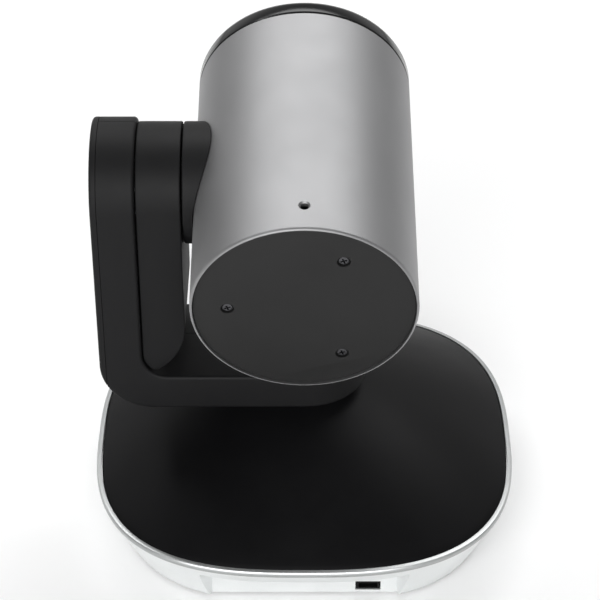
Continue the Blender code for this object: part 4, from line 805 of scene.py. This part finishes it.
low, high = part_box("base_bottom_plate")
plate_half = high.x
plate = stacked([(plate_half - 0.4 * MM, BASE_POWER, low.z), (plate_half, BASE_POWER, low.z + 0.4 * MM),
                 (plate_half, BASE_POWER, high.z)], closed=False)
plate = carve(plate, bay(BOWL_WALL + CLEARANCE, -THROUGH, THROUGH))
insert_low, insert_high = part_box("tripod_insert")
plate = carve(plate, rod(insert_high.x + CLEARANCE, -THROUGH, THROUGH, 72))
for number in range(1, 5):
    foot_low, foot_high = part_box(f"foot_{number}")
    radius = (foot_high.x - foot_low.x) / 2
    spot = Matrix.Translation(((foot_low.x + foot_high.x) / 2, (foot_low.y + foot_high.y) / 2, 0.0))
    plate = carve(plate, rod(radius + CLEARANCE, -MM, foot_high.z + CLEARANCE, 64, spot))
    tread = turned([(0.0, 0.25 * MM), (radius * 0.55, 0.25 * MM), (radius * 0.6, 0.0),
                    (radius - 0.6 * MM, 0.0), (radius - 0.15 * MM, 0.15 * MM), (radius, 0.6 * MM),
                    (radius, foot_high.z), (0.0, foot_high.z)], 96, spot)
    keep(f"rubber_foot_{number}", tread, "base", "rubber", moulded_rubber, f"foot_{number}")
    screw_low, screw_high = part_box(f"plate_screw_{number}")
    head = (screw_high.x - screw_low.x) / 2
    spot = Matrix.Translation(((screw_low.x + screw_high.x) / 2, (screw_low.y + screw_high.y) / 2, 0.0))
    plate = carve(plate, rod(head + CLEARANCE, -THROUGH, low.z + HEAD_RECESS, 48, spot))
    shank = head * SHANK_SHARE
    plate = carve(plate, rod(shank + CLEARANCE, -MM, THROUGH, 32, spot))
    tall = screw_high.z - screw_low.z
    screw = turned([(0.0, 0.0), (head * 0.6, 0.05 * MM), (head * 0.9, 0.3 * MM), (head, 0.6 * MM),
                    (head, 1.1 * MM), (shank, 1.1 * MM), (shank, tall - 0.5 * MM), (head * 0.3, tall),
                    (0.0, tall)], 48)
    for quarter in (0.0, 90.0):
        turn = Matrix.Rotation(math.radians(quarter), 4, "Z")
        cross_arm = block((-UNDER_CROSS_REACH, -UNDER_CROSS_HALF, -MM),
                          (UNDER_CROSS_REACH, UNDER_CROSS_HALF, 0.7 * MM), turn)
        screw = carve(screw, cross_arm)
    bmesh.ops.translate(screw, vec=(0.0, 0.0, screw_low.z), verts=screw.verts)
    bmesh.ops.transform(screw, matrix=spot, verts=screw.verts)
    keep(f"underside_screw_{number}", screw, "base", "steel", turned_steel, f"plate_screw_{number}")
keep("underside_plate", plate, "base", "matte_grey_plastic", eroded_grey_abs, "base_bottom_plate")

THREAD_PITCH = 1.27 * MM  # twenty turns to the inch
THREAD_DEPTH = 0.55 * MM
THREAD_TURNS = 7
THREAD_START = insert_low.z + 0.4 * MM
TRIPOD_BORE = 3.17 * MM
wall = [(insert_high.x - 0.3 * MM, insert_low.z), (insert_high.x, insert_low.z + 0.3 * MM),
        (insert_high.x, insert_high.z), (TRIPOD_BORE, insert_high.z)]
for turn_number in reversed(range(THREAD_TURNS)):
    base_z = THREAD_START + turn_number * THREAD_PITCH
    wall += [(TRIPOD_BORE, base_z + 0.9 * THREAD_PITCH),
             (TRIPOD_BORE + THREAD_DEPTH, base_z + 0.5 * THREAD_PITCH),
             (TRIPOD_BORE, base_z + 0.1 * THREAD_PITCH)]
wall += [(TRIPOD_BORE, THREAD_START), (TRIPOD_BORE + 0.35 * MM, insert_low.z)]
keep("threaded_insert", turned(wall, 96), "base", "brass", turned_brass, "tripod_insert")

# Pan collar -----------------------------------------------------------------------------------------------
# A moulded ring trims the gap between the dome and the arm. It turns with the arm around the pan shaft.

low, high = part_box("pan_collar")
COLLAR_BORE = 7.3 * MM
COLLAR_EASE = 0.4 * MM
collar = turned([(COLLAR_BORE, low.z), (high.x, low.z), (high.x, high.z - COLLAR_EASE),
                 (high.x - COLLAR_EASE, high.z), (COLLAR_BORE, high.z)], 128)
keep("pan_trim_collar", collar, "pan_arm", "charcoal_plastic", charcoal_abs, "pan_collar")

# Inner parts that stay as the frame gives them ------------------------------------------------------------
# Motors, shafts, gears, boards and screws sit inside the casings and keep their own solids. Each takes the
# finish of its stock: turned steel and brass, nylon gears and green solder mask.

# Natural nylon: cream coloured and slightly waxy, as moulded gears are.
moulded_nylon = grained("moulded_nylon", "#D8D3C4", "#E6E1D4", roughness=0.45, grain_mm=0.5, bump_mm=0.01)
# Solder mask on glass-fibre board: an even green with a soft shine.
solder_mask = grained("green_solder_mask", "#14532B", "#1B6A38", roughness=0.35, grain_mm=0.8, bump_mm=0.02)

FINISHES = {
    "steel": turned_steel, "brass": turned_brass, "gear_nylon": moulded_nylon, "circuit_board": solder_mask,
    "rubber": moulded_rubber, "connector_black": socket_black, "lens_housing": lens_black,
    "lens_glass": coated_glass, "matte_grey_plastic": eroded_grey_abs, "charcoal_plastic": charcoal_abs,
    "satin_black_plastic": satin_black_abs, "gloss_black_plastic": polished_black,
    "screw_black": blackened_steel, "silver_plastic": silver_lacquer, "satin_metal": blasted_aluminium,
}
slot_of = {entry["node"]: entry["material_slot"] for entry in frame["record"]["subparts"]}
for node, cad_object in frame["nodes"].items():
    cad_object.data.materials.clear()
    cad_object.data.materials.append(FINISHES[slot_of[node]])
